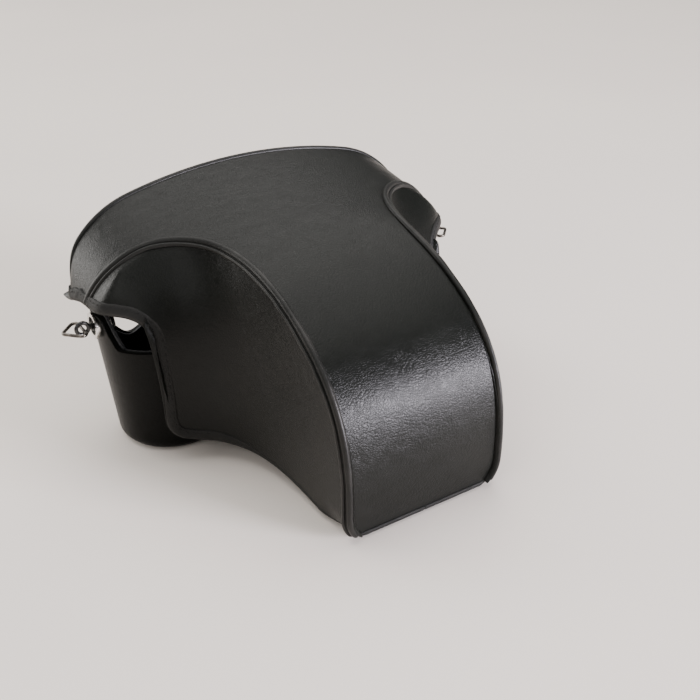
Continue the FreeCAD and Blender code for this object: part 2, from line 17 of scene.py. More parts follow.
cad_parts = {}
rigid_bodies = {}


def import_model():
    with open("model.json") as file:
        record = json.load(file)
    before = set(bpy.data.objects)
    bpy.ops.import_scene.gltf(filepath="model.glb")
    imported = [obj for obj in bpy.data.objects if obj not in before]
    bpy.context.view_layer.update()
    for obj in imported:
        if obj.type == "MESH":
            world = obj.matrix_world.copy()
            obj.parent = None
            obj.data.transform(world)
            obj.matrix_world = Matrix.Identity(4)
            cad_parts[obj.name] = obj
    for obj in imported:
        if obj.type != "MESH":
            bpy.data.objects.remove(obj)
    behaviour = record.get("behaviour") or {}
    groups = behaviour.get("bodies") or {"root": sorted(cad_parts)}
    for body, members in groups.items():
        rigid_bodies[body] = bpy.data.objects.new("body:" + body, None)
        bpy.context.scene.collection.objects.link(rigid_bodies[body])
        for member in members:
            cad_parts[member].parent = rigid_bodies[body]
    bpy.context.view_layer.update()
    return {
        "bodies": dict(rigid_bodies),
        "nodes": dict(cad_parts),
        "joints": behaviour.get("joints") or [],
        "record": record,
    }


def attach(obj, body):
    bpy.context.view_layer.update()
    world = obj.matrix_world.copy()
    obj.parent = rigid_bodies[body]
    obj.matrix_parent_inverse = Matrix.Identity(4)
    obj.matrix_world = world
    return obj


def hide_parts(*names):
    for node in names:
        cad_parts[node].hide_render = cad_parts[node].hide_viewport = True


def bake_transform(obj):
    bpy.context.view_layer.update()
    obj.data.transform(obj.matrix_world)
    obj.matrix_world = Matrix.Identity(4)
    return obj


log = logging.getLogger("ever_ready_case")
MM = 0.001
FAR = 400.0
Array = np.ndarray


class Side(Enum):
    """The two ends of the case."""

    LEFT = -1
    RIGHT = 1

    @property
    def word(self) -> str:
        """Name prefix of this side's pieces."""
        return self.name.lower()


# Curves and meshes ----------------------------------------------------------------------------
class Spline:
    """Natural cubic spline through points, run by chord length or by given knots."""

    def __init__(self, points: list, knots: Array | None = None) -> None:
        """Solve the spline.

        Args:
            points: Points to pass through.
            knots: Parameter at each point; chord length where left out.
        """
        v = np.array(points, float)
        steps = np.linalg.norm(np.diff(v, axis=0), axis=1)
        self.knots = np.concatenate([[0.0], np.cumsum(steps)]) if knots is None else np.array(knots, float)
        self.values = v
        n, h = len(v), np.diff(self.knots)
        a, b = np.zeros((n, n)), np.zeros_like(v)
        a[0, 0] = a[-1, -1] = 1.0
        for i in range(1, n - 1):
            a[i, i - 1:i + 2] = h[i - 1], 2 * (h[i - 1] + h[i]), h[i]
            b[i] = 6 * ((v[i + 1] - v[i]) / h[i] - (v[i] - v[i - 1]) / h[i - 1])
        self.bend = np.linalg.solve(a, b)

    def at(self, t: Array) -> Array:
        """Points at parameters t."""
        t = np.clip(np.atleast_1d(t), self.knots[0], self.knots[-1])
        i = np.clip(np.searchsorted(self.knots, t, "right") - 1, 0, len(self.knots) - 2)
        h = (self.knots[i + 1] - self.knots[i])[:, None]
        u = (t - self.knots[i])[:, None]
        w = h - u
        return (self.bend[i] * w ** 3 + self.bend[i + 1] * u ** 3) / (6 * h) \
            + (self.values[i] / h - self.bend[i] * h / 6) * w \
            + (self.values[i + 1] / h - self.bend[i + 1] * h / 6) * u

    def run(self, count: int) -> Array:
        """Points evenly spread over the whole spline."""
        return self.at(np.linspace(self.knots[0], self.knots[-1], count))


def pick(at: Array, marks: Array, points: Array) -> Array:
    """Points read off a run of points that has a mark at each."""
    return np.stack([np.interp(at, marks, points[:, k]) for k in range(points.shape[1])], axis=1)


def resample(points: Array, count: int) -> Array:
    """Points evenly spaced by length along a run of points."""
    p = np.asarray(points, float)
    length = np.concatenate([[0.0], np.cumsum(np.linalg.norm(np.diff(p, axis=0), axis=1))])
    s = np.linspace(0.0, length[-1], count)
    return pick(s, length, p)


def soften(points: Array, rounds: int) -> Array:
    """Round the corners of an open run of points, with its ends kept."""
    p = np.array(points, float)
    for _ in range(rounds):
        p[1:-1] = 0.25 * p[:-2] + 0.5 * p[1:-1] + 0.25 * p[2:]
    return p


def arc(cx: float, cz: float, radius: float, start: float, end: float, count: int = 9) -> list[tuple[float, float]]:
    """Points of an arc, angles in degrees."""
    turns = np.radians(np.linspace(start, end, count))
    return [(cx + radius * math.cos(a), cz + radius * math.sin(a)) for a in turns]


def ease(share: Array) -> Array:
    """Smooth step of a share, which is held between 0 and 1."""
    share = np.clip(share, 0.0, 1.0)
    return share * share * (3.0 - 2.0 * share)


def rowwise(a: Array) -> Array:
    """Length of each row of an array, kept as a column."""
    return np.maximum(np.linalg.norm(a, axis=-1, keepdims=True), 1e-9)


def make_piece(name: str, verts: Array, faces: list, outward_from: Array | None = None) -> bpy.types.Object:
    """Make a mesh object at the origin from points in millimetres.

    Args:
        name: Piece name.
        verts: Points in millimetres.
        faces: Tuples of point numbers.
        outward_from: A point behind the surface, used to turn the faces outward; closed meshes
            are turned outward without it.

    Returns:
        The new object, linked to the scene.
    """
    mesh = bpy.data.meshes.new(name)
    mesh.from_pydata((np.asarray(verts, float) * MM).tolist(), [], faces)
    bm = bmesh.new()
    bm.from_mesh(mesh)
    bmesh.ops.remove_doubles(bm, verts=bm.verts, dist=2e-6)
    bmesh.ops.dissolve_degenerate(bm, dist=1e-6, edges=bm.edges)
    bmesh.ops.recalc_face_normals(bm, faces=bm.faces)
    if outward_from is not None:
        centre = Vector(np.asarray(outward_from, float) * MM)
        facing = sum(f.normal.dot(f.calc_center_median() - centre) * f.calc_area() for f in bm.faces)
        if facing < 0:
            bmesh.ops.reverse_faces(bm, faces=bm.faces)
    bm.to_mesh(mesh)
    bm.free()
    piece = bpy.data.objects.new(name, mesh)
    bpy.context.scene.collection.objects.link(piece)
    mesh.shade_smooth()
    return piece


def grid_faces(rows: int, columns: int, wrap: bool = False) -> list[tuple[int, int, int, int]]:
    """Quads of a grid of points, row by row; wrap joins the last column to the first."""
    last = columns if wrap else columns - 1
    return [(i * columns + j, i * columns + (j + 1) % columns,
             (i + 1) * columns + (j + 1) % columns, (i + 1) * columns + j)
            for i in range(rows - 1) for j in range(last)]


def settle(piece: bpy.types.Object) -> bpy.types.Object:
    """Turn a piece with live modifiers into a plain mesh."""
    graph = bpy.context.evaluated_depsgraph_get()
    mesh = bpy.data.meshes.new_from_object(piece.evaluated_get(graph))
    old = piece.data
    mesh.name = old.name
    piece.modifiers.clear()
    piece.data = mesh
    if not old.users:
        bpy.data.meshes.remove(old)
    mesh.shade_smooth()
    return piece


def thicken(piece: bpy.types.Object, thickness: float, edge: float = 0.45, levels: int = 0) -> bpy.types.Object:
    """Give a sheet its thickness inwards, with rounded edges.

    Args:
        piece: Sheet whose faces point outward.
        thickness: Leather thickness in millimetres.
        edge: Radius of the cut edges in millimetres.
        levels: Rounds of subdivision before the wall is made.

    Returns:
        The same object as a plain mesh.
    """
    if levels:
        smooth = piece.modifiers.new("smooth", "SUBSURF")
        smooth.levels = smooth.render_levels = levels
    wall = piece.modifiers.new("wall", "SOLIDIFY")
    wall.thickness = thickness * MM
    wall.offset = -1.0
    wall.use_even_offset = False
    rim = piece.modifiers.new("rim", "BEVEL")
    rim.width = edge * MM
    rim.segments = 2
    rim.limit_method = "ANGLE"
    rim.angle_limit = math.radians(55)
    return settle(piece)


def sweep(name: str, path: Array, normals: Array, section: Array, closed: bool = False,
          jitter: Array | None = None) -> bpy.types.Object:
    """Sweep a closed section along a path.

    Args:
        name: Piece name.
        path: Points of the path.
        normals: Direction of the section's second axis at each point.
        section: Closed outline, or one for each point, first axis sideways, second along the normal.
        closed: Whether the path joins its own start.
        jitter: Share added to the section's size at each point and section point.

    Returns:
        The swept piece.
    """
    p = np.asarray(path, float)
    ahead = np.roll(p, -1, 0) - np.roll(p, 1, 0)
    if not closed:
        ahead[0], ahead[-1] = p[1] - p[0], p[-1] - p[-2]
    ahead /= rowwise(ahead)
    up = normals - ahead * np.sum(normals * ahead, 1, keepdims=True)
    up /= rowwise(up)
    across = np.cross(ahead, up)
    s = np.broadcast_to(np.asarray(section, float), (len(p), *np.shape(section)[-2:]))
    if jitter is not None:
        s = s * (1.0 + jitter[:, :, None])
    rings = p[:, None, :] + across[:, None, :] * s[:, :, :1] + up[:, None, :] * s[:, :, 1:]
    n, m = rings.shape[:2]
    verts = rings.reshape(-1, 3)
    faces = grid_faces(n, m, wrap=True)
    if closed:
        faces += [((n - 1) * m + j, (n - 1) * m + (j + 1) % m, (j + 1) % m, j) for j in range(m)]
        return make_piece(name, verts, faces)
    # each end closes on a point of its own, a little further along
    caps = np.stack([rings[0].mean(0) - ahead[0] * 0.25, rings[-1].mean(0) + ahead[-1] * 0.25])
    first, last = n * m, n * m + 1
    faces += [(first, (j + 1) % m, j) for j in range(m)]
    faces += [(last, (n - 1) * m + j, (n - 1) * m + (j + 1) % m) for j in range(m)]
    return make_piece(name, np.concatenate([verts, caps]), faces)


def rounded_bar(half_width: float, low: float, high: float, radius: float, steps: int = 3) -> Array:
    """Closed outline of a bar with rounded corners."""
    outline = []
    for cx, cz, start in ((half_width - radius, high - radius, 90), (half_width - radius, low + radius, 0),
                          (radius - half_width, low + radius, -90), (radius - half_width, high - radius, -180)):
        outline += arc(cx, cz, radius, start, start - 90, steps)
    return np.array(outline)


# Materials ------------------------------------------------------------------------------------
class Board:
    """Short calls for building one node tree."""

    def __init__(self, tree: bpy.types.NodeTree) -> None:
        """Hold the tree."""
        self.tree = tree

    def add(self, kind: str, values: dict | None = None, **settings: object) -> bpy.types.Node:
        """Add a node, set its properties and its unlinked inputs.

        Args:
            kind: Node type.
            values: Input name or number to a value or an output socket.
            **settings: Node properties.

        Returns:
            The node.
        """
        node = self.tree.nodes.new(kind)
        for key, value in settings.items():
            setattr(node, key, value)
        self.feed(node.inputs, values or {})
        return node

    def feed(self, inputs: bpy.types.NodeInputs, values: dict) -> None:
        """Link or set inputs by name or number."""
        for key, value in values.items():
            if isinstance(value, bpy.types.NodeSocket):
                self.tree.links.new(value, inputs[key])
            else:
                inputs[key].default_value = value

    def math(self, operation: str, a: object, b: object = 0.0, clamp: bool = False) -> bpy.types.NodeSocket:
        """Output of a Math node."""
        return self.add("ShaderNodeMath", {0: a, 1: b}, operation=operation, use_clamp=clamp).outputs[0]

    def noise(self, vector: bpy.types.NodeSocket, scale: float, detail: float = 2.0) -> bpy.types.NodeSocket:
        """Value of a noise pattern."""
        return self.add("ShaderNodeTexNoise", {"Vector": vector, "Scale": scale, "Detail": detail}).outputs[0]

    def blend(self, share: object, a: object, b: object) -> bpy.types.NodeSocket:
        """Colour between a and b."""
        return self.add("ShaderNodeMix", {0: share, 6: a, 7: b}, data_type="RGBA").outputs[2]

    def between(self, value: object, low: float, high: float) -> bpy.types.NodeSocket:
        """Value moved from 0..1 to low..high."""
        return self.add("ShaderNodeMapRange", {0: value, 3: low, 4: high}).outputs[0]

    def step(self, value: object, low: float, high: float) -> bpy.types.NodeSocket:
        """Smooth step of a value between two levels."""
        return self.add("ShaderNodeMapRange", {0: value, 1: low, 2: high},
                        interpolation_type="SMOOTHSTEP").outputs[0]


def shader_group(name: str, inputs: dict[str, float], outputs: tuple[str, ...]) -> tuple:
    """Start a shader node group with a vector input, named number inputs and number outputs."""
    tree = bpy.data.node_groups.new(name, "ShaderNodeTree")
    tree.interface.new_socket("Vector", in_out="INPUT", socket_type="NodeSocketVector")
    for key, value in inputs.items():
        socket = tree.interface.new_socket(key, in_out="INPUT", socket_type="NodeSocketFloat")
        socket.default_value = value
    for key in outputs:
        tree.interface.new_socket(key, in_out="OUTPUT", socket_type="NodeSocketFloat")
    board = Board(tree)
    return tree, board, board.add("NodeGroupInput").outputs, board.add("NodeGroupOutput").inputs


class Effects:
    """Shader node groups shared by the materials."""

    def __init__(self) -> None:
        """Build every group once."""
        self.grain = self._grain()
        self.wear = self._wear()
        self.dust = self._dust()
        self.fibre = self._fibre()
        self.scratch = self._scratch()

    @staticmethod
    def _grain() -> bpy.types.NodeTree:
        """Pebbled hide: rounded cells under a millimetre across, over finer pores, with a mask of the grooves between
        cells for painted shade.
        """
        tree, b, given, out = shader_group("hide_grain", {"Scale": 900.0, "Stretch": 0.35}, ("Height", "ValleyShade"))
        bend = b.add("ShaderNodeTexNoise", {"Vector": given["Vector"], "Scale": 160.0, "Detail": 2.0})
        moved = b.add("ShaderNodeVectorMath", {0: bend.outputs[1], "Scale": 0.004}, operation="SCALE")
        place = b.add("ShaderNodeVectorMath", {0: given["Vector"], 1: moved.outputs[0]}, operation="ADD")
        turn = b.add("ShaderNodeMapping", {"Vector": place.outputs[0], "Rotation": (0.3, 0.2, 0.5),
                                           "Scale": (0.75, 1.0, 1.0)})
        cells = b.add("ShaderNodeTexVoronoi", {"Vector": turn.outputs[0], "Scale": given["Scale"]},
                      feature="SMOOTH_F1")
        lines = b.add("ShaderNodeTexVoronoi", {"Vector": turn.outputs[0], "Scale": given["Scale"]},
                      feature="DISTANCE_TO_EDGE")
        # groove mask: it deepens the bump, and it is also given out as painted shade in the grooves
        valley = b.step(lines.outputs[0], 0.16, 0.02)
        pores = b.noise(given["Vector"], 4200.0, 3.0)
        swell = b.noise(given["Vector"], 210.0, 2.0)
        height = b.math("SUBTRACT", b.math("MULTIPLY", pores, 0.22), b.math("MULTIPLY", cells.outputs[0], 0.7))
        height = b.math("SUBTRACT", height, b.math("MULTIPLY", valley, given["Stretch"]))
        height = b.math("ADD", height, b.math("MULTIPLY", swell, 0.3))
        b.feed(out, {"Height": height, "ValleyShade": valley})
        return tree

    @staticmethod
    def _wear() -> bpy.types.NodeTree:
        """Rubbed edges, broken up by noise, from a value that is 1 on the edge."""
        tree, b, given, out = shader_group("edge_rub", {"Edge": 0.0, "Amount": 0.5}, ("Mask",))
        patches = b.step(b.noise(given["Vector"], 70.0, 4.0), 0.42, 0.68)
        speck = b.noise(given["Vector"], 900.0, 2.0)
        rubbed = b.math("MULTIPLY", given["Edge"], b.math("ADD", patches, b.math("MULTIPLY", speck, 0.4)))
        b.feed(out, {"Mask": b.math("MULTIPLY", rubbed, given["Amount"], clamp=True)})
        return tree

    @staticmethod
    def _dust() -> bpy.types.NodeTree:
        """A few pale specks of dust."""
        tree, b, given, out = shader_group("dust_specks", {"Density": 45.0, "Share": 0.12}, ("Mask",))
        spots = b.add("ShaderNodeTexVoronoi", {"Vector": given["Vector"], "Scale": given["Density"]})
        shade = b.add("ShaderNodeSeparateColor", {0: spots.outputs[1]})
        chosen = b.math("LESS_THAN", shade.outputs[0], given["Share"])
        near = b.step(spots.outputs[0], 0.028, 0.016)
        b.feed(out, {"Mask": b.math("MULTIPLY", chosen, near)})
        return tree

    @staticmethod
    def _fibre() -> bpy.types.NodeTree:
        """Short matted fibres of felt or board."""
        tree, b, given, out = shader_group("matted_fibre", {"Scale": 1.0}, ("Height", "Fleck"))
        lays = []
        for turn in ((0.3, 0.2, 0.4), (0.9, 1.1, 1.9)):
            lay = b.add("ShaderNodeMapping", {"Vector": given["Vector"], "Rotation": turn,
                                              "Scale": (420.0, 2600.0, 1900.0)})
            lays.append(b.math("MULTIPLY", b.noise(lay.outputs[0], 1.0, 2.0), given["Scale"]))
        b.feed(out, {"Height": b.math("ADD", lays[0], lays[1]), "Fleck": b.step(lays[0], 0.52, 0.78)})
        return tree

    @staticmethod
    def _scratch() -> bpy.types.NodeTree:
        """Fine handling scratches and dull patches on plated metal."""
        tree, b, given, out = shader_group("metal_scratches", {"Length": 1.0}, ("Height", "Dull"))
        lay = b.add("ShaderNodeMapping", {"Vector": given["Vector"], "Rotation": (0.2, 0.5, 0.9),
                                          "Scale": (300.0, 5200.0, 3000.0)})
        lines = b.step(b.noise(lay.outputs[0], 1.0, 3.0), 0.56, 0.66)
        b.feed(out, {"Height": b.math("MULTIPLY", lines, given["Length"]),
                     "Dull": b.noise(given["Vector"], 380.0, 4.0)})
        return tree


def start_material(name: str) -> tuple[bpy.types.Material, Board, bpy.types.Node, bpy.types.NodeSocket]:
    """New node material with its shader and the object coordinates."""
    material = bpy.data.materials.new(name)
    material.use_nodes = True
    board = Board(material.node_tree)
    shader = material.node_tree.nodes["Principled BSDF"]
    place = board.add("ShaderNodeTexCoord").outputs["Object"]
    return material, board, shader, place


def use_group(board: Board, tree: bpy.types.NodeTree, values: dict) -> bpy.types.Node:
    """Place a shared group in a material."""
    node = board.add("ShaderNodeGroup", node_tree=tree)
    board.feed(node.inputs, values)
    return node


@dataclass(frozen=True)
class HideFinish:
    """Dyed leather with a pebbled grain, or a darker copy of it that holds painted shade."""

    name: str
    dark: tuple[float, float, float]
    light: tuple[float, float, float]
    rubbed: tuple[float, float, float] = (0.040, 0.038, 0.035)
    roughness: tuple[float, float] = (0.29, 0.36)
    cell: float = 1500.0
    bump: float = 0.34
    depth: float = 0.00022
    rub: float = 0.5
    specks: float = 0.07
    specular: float = 0.16

    def build(self, effects: Effects) -> bpy.types.Material:
        """Make the material."""
        material, b, shader, place = start_material(self.name)
        grain = use_group(b, effects.grain, {"Vector": place, "Scale": self.cell})
        edge = b.add("ShaderNodeAttribute", attribute_name="edge").outputs["Fac"]
        wear = use_group(b, effects.wear, {"Vector": place, "Edge": edge, "Amount": self.rub})
        dust = use_group(b, effects.dust, {"Vector": place, "Share": self.specks})
        cloud = b.step(b.noise(place, 26.0, 4.0), 0.3, 0.72)
        colour = b.blend(cloud, (*self.dark, 1.0), (*self.light, 1.0))
        # painted shade: the hide's colour goes towards black in the grain's grooves
        colour = b.blend(b.math("MULTIPLY", grain.outputs["ValleyShade"], 0.2), colour, (0.002, 0.002, 0.002, 1.0))
        colour = b.blend(wear.outputs[0], colour, (*self.rubbed, 1.0))
        colour = b.blend(b.math("MULTIPLY", dust.outputs[0], 0.75), colour, (0.5, 0.48, 0.44, 1.0))
        rough = b.between(b.noise(place, 48.0, 3.0), *self.roughness)
        rough = b.math("ADD", rough, b.math("MULTIPLY", dust.outputs[0], 0.3))
        rough = b.math("SUBTRACT", rough, b.math("MULTIPLY", wear.outputs[0], 0.08))
        bump = b.add("ShaderNodeBump", {"Strength": self.bump, "Distance": self.depth,
                                        "Height": grain.outputs["Height"]})
        b.feed(shader.inputs, {"Base Color": colour, "Roughness": rough, "Normal": bump.outputs[0],
                               "Specular IOR Level": self.specular})
        return material


@dataclass(frozen=True)
class FibreFinish:
    """Felt or pressed board."""

    name: str
    dark: tuple[float, float, float]
    light: tuple[float, float, float]
    roughness: float = 0.95
    sheen: float = 0.25
    bump: float = 0.6

    def build(self, effects: Effects) -> bpy.types.Material:
        """Make the material."""
        material, b, shader, place = start_material(self.name)
        fibre = use_group(b, effects.fibre, {"Vector": place})
        dust = use_group(b, effects.dust, {"Vector": place, "Density": 140.0, "Share": 0.2})
        colour = b.blend(b.step(b.noise(place, 60.0, 4.0), 0.3, 0.7), (*self.dark, 1.0), (*self.light, 1.0))
        colour = b.blend(b.math("MULTIPLY", fibre.outputs["Fleck"], 0.5), colour, (*self.light, 1.0))
        colour = b.blend(b.math("MULTIPLY", dust.outputs[0], 0.5), colour, (0.32, 0.32, 0.34, 1.0))
        rough = b.between(fibre.outputs["Fleck"], self.roughness - 0.08, self.roughness)
        bump = b.add("ShaderNodeBump", {"Strength": self.bump, "Distance": 0.0004,
                                        "Height": fibre.outputs["Height"]})
        b.feed(shader.inputs, {"Base Color": colour, "Roughness": rough, "Normal": bump.outputs[0],
                               "Sheen Weight": self.sheen, "Sheen Roughness": 0.5})
        return material


@dataclass(frozen=True)
class MetalFinish:
    """Plated, turned or enamelled metal."""

    name: str
    colour: tuple[float, float, float]
    tarnish: tuple[float, float, float]
    metallic: float = 1.0
    roughness: tuple[float, float] = (0.16, 0.34)

    def build(self, effects: Effects) -> bpy.types.Material:
        """Make the material."""
        material, b, shader, place = start_material(self.name)
        marks = use_group(b, effects.scratch, {"Vector": place})
        dull = b.step(marks.outputs["Dull"], 0.46, 0.72)
        colour = b.blend(dull, (*self.colour, 1.0), (*self.tarnish, 1.0))
        rough = b.between(dull, *self.roughness)
        rough = b.math("ADD", rough, b.math("MULTIPLY", marks.outputs["Height"], 0.14))
        bump = b.add("ShaderNodeBump", {"Strength": 0.25, "Distance": 0.00008, "Height": marks.outputs["Height"]})
        b.feed(shader.inputs, {"Base Color": colour, "Roughness": rough, "Normal": bump.outputs[0],
                               "Metallic": self.metallic})
        return material


@dataclass(frozen=True)
class ThreadFinish:
    """Waxed black thread with its twist."""

    name: str = "waxed_thread"

    def build(self, effects: Effects) -> bpy.types.Material:
        """Make the material."""
        material, b, shader, place = start_material(self.name)
        lay = b.add("ShaderNodeMapping", {"Vector": place, "Rotation": (0.5, 0.7, 0.3)})
        twist = b.add("ShaderNodeTexWave", {"Vector": lay.outputs[0], "Scale": 900.0, "Distortion": 1.5})
        wax = use_group(b, effects.scratch, {"Vector": place})
        colour = b.blend(twist.outputs[1], (0.006, 0.006, 0.006, 1.0), (0.012, 0.012, 0.011, 1.0))
        bump = b.add("ShaderNodeBump", {"Strength": 0.5, "Distance": 0.0001, "Height": twist.outputs[1]})
        b.feed(shader.inputs, {"Base Color": colour, "Roughness": b.between(wax.outputs["Dull"], 0.6, 0.8),
                               "Specular IOR Level": 0.2, "Normal": bump.outputs[0]})
        return material


class Finish(Enum):
    """Finishes of the case and its metalwork."""

    BLACK_LEATHER = HideFinish("black_leather", (0.0036, 0.0042, 0.0034), (0.0060, 0.0067, 0.0056), rub=0.3)
    # same black leather as the cover: its darker colour is painted shade on the tray, and the lower specular level is
    # the tray hide's own
    SHADED_TRAY_LEATHER = HideFinish("shaded_tray_leather", (0.0024, 0.0027, 0.0022), (0.0040, 0.0044, 0.0037), rub=0.3,
                              specular=0.08)
    PIPING = HideFinish("rolled_piping", (0.0050, 0.0054, 0.0047), (0.0084, 0.0088, 0.0078), rub=0.5,
                        roughness=(0.36, 0.46), cell=1700.0, bump=0.2, specks=0.0, specular=0.22)
    BINDING = HideFinish("edge_tape", (0.0062, 0.0066, 0.0060), (0.0105, 0.0109, 0.0100), rub=0.35,
                         roughness=(0.50, 0.64), cell=1900.0, bump=0.5, specks=0.04, specular=0.22)
    FELT = FibreFinish("black_felt", (0.006, 0.0065, 0.009), (0.016, 0.017, 0.022))
    BOARD = FibreFinish("fibre_board", (0.16, 0.11, 0.07), (0.24, 0.17, 0.11), 0.85, 0.0, 0.3)
    NICKEL = MetalFinish("nickel_plate", (0.80, 0.79, 0.77), (0.52, 0.50, 0.46))
    STEEL = MetalFinish("turned_steel", (0.62, 0.61, 0.60), (0.38, 0.36, 0.34), roughness=(0.24, 0.42))
    WIRE = MetalFinish("dull_wire", (0.16, 0.145, 0.13), (0.07, 0.063, 0.056), roughness=(0.22, 0.38))
    ENAMEL = MetalFinish("black_enamel", (0.012, 0.012, 0.012), (0.022, 0.021, 0.020), 0.0, (0.12, 0.3))
    THREAD = ThreadFinish()


@dataclass
class Finishes:
    """Every finish, built once."""

    effects: Effects = field(default_factory=Effects)
    made: dict[Finish, bpy.types.Material] = field(default_factory=dict)

    def material(self, finish: Finish) -> bpy.types.Material:
        """Material of a finish."""
        if finish not in self.made:
            self.made[finish] = finish.value.build(self.effects)
        return self.made[finish]

    def dress(self, piece: bpy.types.Object, finish: Finish) -> None:
        """Give a new piece one finish."""
        piece.data.materials.clear()
        piece.data.materials.append(self.material(finish))

    def dress_node(self, node: bpy.types.Object, finish: Finish) -> None:
        """Give a CAD node a finish through its material slots."""
        if not node.material_slots:
            node.data.materials.append(None)
        for slot in node.material_slots:
            slot.material = self.material(finish)


def mark_edges(piece: bpy.types.Object, value: Array) -> None:
    """Store how near each point is to a rubbed edge, from 0 to 1."""
    layer = piece.data.attributes.new("edge", "FLOAT", "POINT")
    layer.data.foreach_set("value", np.asarray(value, np.float32))


def mark_by_curvature(piece: bpy.types.Object, low: float = 14.0, high: float = 42.0) -> None:
    """Mark the points of a mesh where its faces bend sharply outwards."""
    bm = bmesh.new()
    bm.from_mesh(piece.data)
    bm.normal_update()
    bend = np.zeros(len(bm.verts))
    for edge in bm.edges:
        if len(edge.link_faces) == 2:
            angle = math.degrees(edge.calc_face_angle_signed(0.0))
            for v in edge.verts:
                bend[v.index] = max(bend[v.index], angle)
    bm.free()
    mark_edges(piece, np.clip((bend - low) / (high - low), 0.0, 1.0))


# Repeated details -----------------------------------------------------------------------------
class StitchTree:
    """Geometry node tree that sews stitches along a run of points."""

    def __init__(self) -> None:
        """Build the tree."""
        tree = bpy.data.node_groups.new("stitch_row", "GeometryNodeTree")
        face = tree.interface
        face.new_socket("Geometry", in_out="INPUT", socket_type="NodeSocketGeometry")
        self.sockets = {}
        for key, value in (("Pitch", 2.6 * MM), ("Length", 0.95 * MM), ("Thread", 0.26 * MM)):
            socket = face.new_socket(key, in_out="INPUT", socket_type="NodeSocketFloat")
            socket.default_value = value
            self.sockets[key] = socket.identifier
        material = face.new_socket("Material", in_out="INPUT", socket_type="NodeSocketMaterial")
        self.sockets["Material"] = material.identifier
        face.new_socket("Geometry", in_out="OUTPUT", socket_type="NodeSocketGeometry")
        b = Board(tree)
        given = b.add("NodeGroupInput").outputs
        curve = b.add("GeometryNodeMeshToCurve", {0: given["Geometry"]})
        places = b.add("GeometryNodeCurveToPoints", {"Curve": curve.outputs[0], "Length": given["Pitch"]},
                       mode="LENGTH")
        turn = b.add("FunctionNodeRandomValue", {2: -0.12, 3: 0.12, "Seed": 7}, data_type="FLOAT")
        tilt = b.add("ShaderNodeVectorMath", {0: places.outputs["Tangent"]}, operation="NORMALIZE")
        aim = b.add("FunctionNodeAlignRotationToVector", {"Vector": tilt.outputs[0]}, axis="Z")
        nudge = b.add("FunctionNodeRotateRotation", {"Rotation": aim.outputs[0]})
        skew = b.add("ShaderNodeCombineXYZ", {0: turn.outputs[1]})
        b.tree.links.new(skew.outputs[0], nudge.inputs[1])
        bead = b.add("GeometryNodeMeshUVSphere", {"Segments": 6, "Rings": 5, "Radius": 1.0})
        size = b.add("ShaderNodeCombineXYZ", {0: given["Thread"], 1: given["Thread"], 2: given["Length"]})
        rows = b.add("GeometryNodeInstanceOnPoints", {"Points": places.outputs[0], "Instance": bead.outputs[0],
                                                      "Rotation": nudge.outputs[0], "Scale": size.outputs[0]})
        real = b.add("GeometryNodeRealizeInstances", {0: rows.outputs[0]})
        done = b.add("GeometryNodeSetMaterial", {"Geometry": real.outputs[0], "Material": given["Material"]})
        out = b.add("NodeGroupOutput")
        b.tree.links.new(done.outputs[0], out.inputs[0])
        self.tree = tree

    def sew(self, name: str, runs: list[Array], material: bpy.types.Material, pitch: float = 2.6,
            length: float = 0.85, thread: float = 0.2) -> bpy.types.Object:
        """Sew stitches along runs of points.

        Args:
            name: Piece name.
            runs: Runs of points in millimetres.
            material: Thread material.
            pitch: Distance from stitch to stitch.
            length: Half length of a stitch.
            thread: Half thickness of the thread.

        Returns:
            The stitches as one plain mesh.
        """
        verts, edges = [], []
        for run in runs:
            start = len(verts)
            verts += (np.asarray(run) * MM).tolist()
            edges += [(start + i, start + i + 1) for i in range(len(run) - 1)]
        mesh = bpy.data.meshes.new(name)
        mesh.from_pydata(verts, edges, [])
        piece = bpy.data.objects.new(name, mesh)
        bpy.context.scene.collection.objects.link(piece)
        rows = piece.modifiers.new("stitches", "NODES")
        rows.node_group = self.tree
        for key, value in (("Pitch", pitch * MM), ("Length", length * MM), ("Thread", thread * MM),
                           ("Material", material)):
            rows[self.sockets[key]] = value
        return settle(piece)


